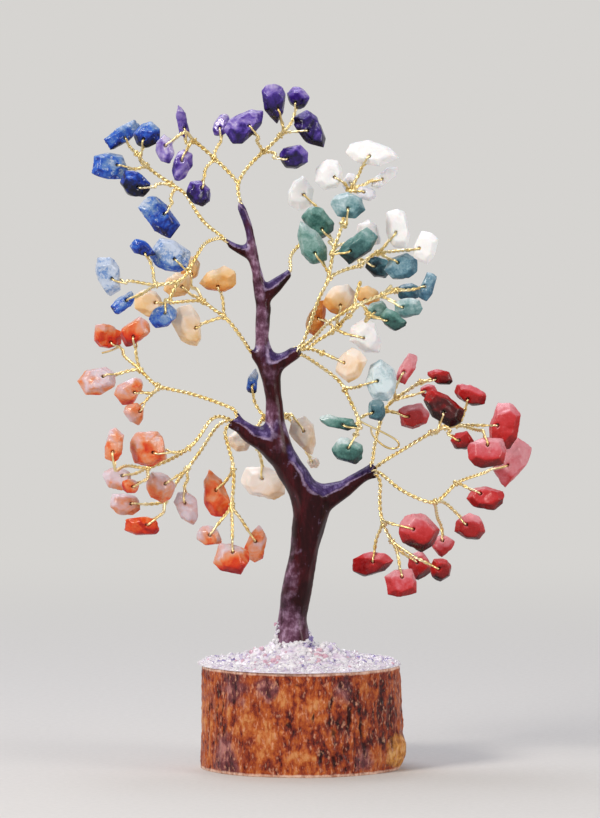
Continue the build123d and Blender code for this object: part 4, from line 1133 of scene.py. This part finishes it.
def spray_strands(node, stones, clay, sizes, dice):
    """The strands of one spray: its stems, its twigs with their loops, and the knots."""
    tubes = wire_parts(node)
    loops = [list(points) for points, sides in tubes if sides == 3]
    stems, twigs, used = [], [], set()
    for points in [list(points) for points, sides in tubes if sides == 4]:
        gap, end, k = min(
            (np.linalg.norm((loop[0] + loop[-1]) / 2 - points[end]), end, k)
            for k, loop in enumerate(loops) for end in (0, -1))
        if gap < loop_gap and len(loops[k]) == 6:
            twigs.append((points if end else points[::-1], loops[k]))
            used.add(k)
        else:
            stems.append(points)
    first_stem = list(main_stem([np.array(stem) for stem in stems], clay))
    others = [stem for stem in stems
              if min(np.linalg.norm(np.array(stem) - first_stem[1], axis=1)) > same_gap]

    # A stem grows from one that is there already, so the nearest of those left comes next
    paths = [routed(first_stem, sizes.step, 8)]
    while others:
        gaps = [[nearest_on(paths, stem[end])[0] for end in (0, -1)] for stem in others]
        k = int(np.argmin([min(ends) for ends in gaps]))
        stem, (start, end) = others.pop(k), gaps[k]
        stem = rooted(stem if start <= end else stem[::-1], paths)
        paths.append(routed(stem, sizes.step, 8))
    strands = [strand for path in paths for strand in twist(path, sizes, np.array((0, -1, 0)))]
    for points, loop in twigs:
        path = routed(rooted(points, paths), sizes.step, 14)
        first, second = twist(path, sizes, loop[0] - (loop[0] + loop[-1]) / 2)
        ring = laid(loop, stones, sizes.strand)
        strands.append(eased(first + list(ring) + second[::-1], 2))
    for k, loop in enumerate(loops):
        if k not in used:
            start, end = (nearest_on(paths, loop[end])[0] for end in (0, -1))
            loop = loop if start <= end else loop[::-1]
            points = rooted(loop, paths) + [(loop[0] + loop[1]) / 2]
            strands.append(routed(points, sizes.step, 6))
    knots = []
    for points, loop in twigs:
        path, k = nearest_on(paths, points[0])[1:]
        k = min(max(k, 2), len(path) - 3)
        if all(np.linalg.norm(path[k] - knot) > knot_gap for knot in knots):
            knots.append(path[k])
            strands.append(wrap(path, k, sizes, dice))
    for wire, places in tail_rows:
        if node == wire:
            strands.append(tail(places, strands, sizes))
    return strands


def drawn(name, strands, radius):
    """Strands of wire as one piece."""
    curve = bpy.data.curves.new(name, "CURVE")
    curve.dimensions = "3D"
    curve.bevel_depth = radius
    curve.bevel_resolution = 1
    curve.use_fill_caps = True
    for strand in strands:
        spline = curve.splines.new("POLY")
        spline.points.add(len(strand) - 1)
        spline.points.foreach_set("co", np.column_stack(
            [np.array(strand), np.ones(len(strand))]).ravel())
    piece = new_piece(name, curve)
    select_only(piece)
    bpy.ops.object.convert(target="MESH")
    return piece


class TREE_OT_wires(bpy.types.Operator):
    """Twist the brass wires of each spray and lead them through the drilled chips"""
    bl_idname = "gemtree.wires"
    bl_label = "Twisted wires"

    def execute(self, context):
        sizes = context.scene.gemtree_wires
        brass = make_brass()
        clay = tree_of(bpy.data.objects["moulded_trunk"])
        dice = Random(5)
        for node in wire_nodes:
            spray = node[:-len("_wire")]
            stones = [tree_of(bpy.data.objects[name + "_stones"])
                      for name in chip_tones if name.rsplit("_", 1)[0] == spray]
            strands = spray_strands(node, stones, clay, sizes, dice)
            dress(drawn(spray + "_twisted_wire", strands, sizes.strand), brass, "brass_wire", node)
        return {"FINISHED"}


# The stage

class TREE_PG_stage(bpy.types.PropertyGroup):
    """The studio round the tree."""
    distance: length("Camera distance", "From the camera to the tree", 2400, 300)
    elevation: bpy.props.FloatProperty(
        name="Camera elevation", description="How far the camera looks down",
        default=radians(4.2), subtype="ANGLE", unit="ROTATION")
    backdrop: bpy.props.FloatVectorProperty(
        name="Backdrop", description="Colour of the pale backdrop", subtype="COLOR",
        default=linear("#d6d4d1")[:3], min=0, max=1)


def make_studio_paper(backdrop):
    """Pale matt paper that takes the shadow near the tree and is evenly lit far from it."""
    material, add, spots = new_material("pale_backdrop_paper")
    fibres = add("TexNoise", {"Vector": spots, "Scale": cells(1.5), "Detail": 3})
    finished(material, {
        "Base Color": add("ValToRGB", {"Fac": fibres}, ((0.3, "#d5d3d0"), (0.7, "#dad8d5"))),
        "Roughness": 0.8, "Specular IOR Level": 0.1})
    reach = add("VectorMath", {0: spots}, out="Value", operation="LENGTH")
    far = add("MapRange", {"Value": reach, "From Min": 0.12, "From Max": 0.6},
              interpolation_type="SMOOTHSTEP")
    nodes = material.node_tree.nodes
    fill_inputs(nodes["Material Output"], {"Surface": add("MixShader", {
        0: far, 1: nodes["Principled BSDF"].outputs[0], 2: add("Emission", {"Color": backdrop})})})
    return material


# The lamps: where they stand, how wide they are and how strong, in metres and watts
lamp_rows = (
    ((-0.65, -0.65, 0.65), 0.3, 8.0, "#fff9f0"), ((-0.15, 0.3, 0.9), 0.5, 3.8, "#f0f2ff"),
    ((0.8, -0.5, 0.3), 0.4, 3.4, "#fffaf4"),
)

# How wide the floor is, the height that lamps and camera aim at, both in metres, and the height
# of the camera's film in millimetres
floor_size = 60
aim_height = 0.09
sensor_height = 24


class TREE_OT_stage(bpy.types.Operator):
    """Set the pale floor, the soft lamps and the camera"""
    bl_idname = "gemtree.stage"
    bl_label = "Stage"

    def execute(self, context):
        sizes = context.scene.gemtree_stage
        backdrop = (*sizes.backdrop, 1)
        bpy.ops.mesh.primitive_plane_add(size=floor_size, location=(0, 0, 0))
        floor = context.object
        floor.name = "floor"
        coat(floor, make_studio_paper(backdrop))

        # the camera, metal and glass see the backdrop's colour, and all else a dimmer sky
        world = bpy.data.worlds.new("studio")
        context.scene.world = world
        world.use_nodes = True
        add = partial(add_node, world.node_tree)
        sky = world.node_tree.nodes["Background"]
        fill_inputs(sky, {"Color": "#eef0f6", "Strength": 0.32})
        rays = add("LightPath", out="Is Camera Ray").node.outputs
        share = rays["Is Camera Ray"]
        for kind in ("Is Glossy Ray", "Is Transmission Ray"):
            share = add("Math", {0: share, 1: rays[kind]}, operation="MAXIMUM")
        fill_inputs(world.node_tree.nodes["World Output"], {"Surface": add("MixShader", {
            0: share, 1: sky.outputs[0], 2: add("Background", {"Color": backdrop})})})

        aim = Vector((0, 0, aim_height))
        for place, size, power, colour in lamp_rows:
            way = aim - Vector(place)
            bpy.ops.object.light_add(type="AREA", location=place,
                                     rotation=way.to_track_quat("-Z", "Y").to_euler())
            lamp = context.object.data
            lamp.size = size
            lamp.energy = power
            lamp.color = linear(colour)[:3]

        tilt = sizes.elevation
        spot = aim + Vector((0, -cos(tilt), sin(tilt))) * sizes.distance
        bpy.ops.object.camera_add(location=spot, rotation=(pi / 2 - tilt, 0, 0))
        camera = context.object
        camera.data.sensor_fit = "VERTICAL"
        camera.data.sensor_height = sensor_height
        camera.data.lens = sensor_height * sizes.distance / (PHOTO_HEIGHT * PIXEL)
        camera.data.clip_start = 0.01
        context.scene.camera = camera
        context.scene.view_settings.view_transform = "Standard"
        return {"FINISHED"}


class TREE_PT_panel(bpy.types.Panel):
    """Lists the tree's operators"""
    bl_idname = "TREE_PT_panel"
    bl_label = "Gemstone tree"
    bl_space_type = "VIEW_3D"
    bl_region_type = "UI"
    bl_category = "Gemstone tree"

    def draw(self, context):
        for operator in operators:
            self.layout.operator(operator.bl_idname)


groups = {"gemtree_log": TREE_PG_log, "gemtree_crust": TREE_PG_crust,
          "gemtree_trunk": TREE_PG_trunk, "gemtree_chips": TREE_PG_chips,
          "gemtree_wires": TREE_PG_wires, "gemtree_stage": TREE_PG_stage}
operators = (TREE_OT_log, TREE_OT_trunk, TREE_OT_crust, TREE_OT_chips, TREE_OT_wires,
             TREE_OT_stage)


def register():
    for name, group in groups.items():
        bpy.utils.register_class(group)
        setattr(bpy.types.Scene, name, bpy.props.PointerProperty(type=group))
    for kind in operators + (TREE_PT_panel,):
        bpy.utils.register_class(kind)


def unregister():
    for kind in reversed(operators + (TREE_PT_panel,)):
        bpy.utils.unregister_class(kind)
    for name, group in groups.items():
        delattr(bpy.types.Scene, name)
        bpy.utils.unregister_class(group)


def main():
    """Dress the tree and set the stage."""
    register()
    bpy.ops.gemtree.log()
    bpy.ops.gemtree.trunk()
    bpy.ops.gemtree.crust()
    bpy.ops.gemtree.chips()
    bpy.ops.gemtree.wires()
    bpy.ops.gemtree.stage()


if __name__ == "__main__":
    main()
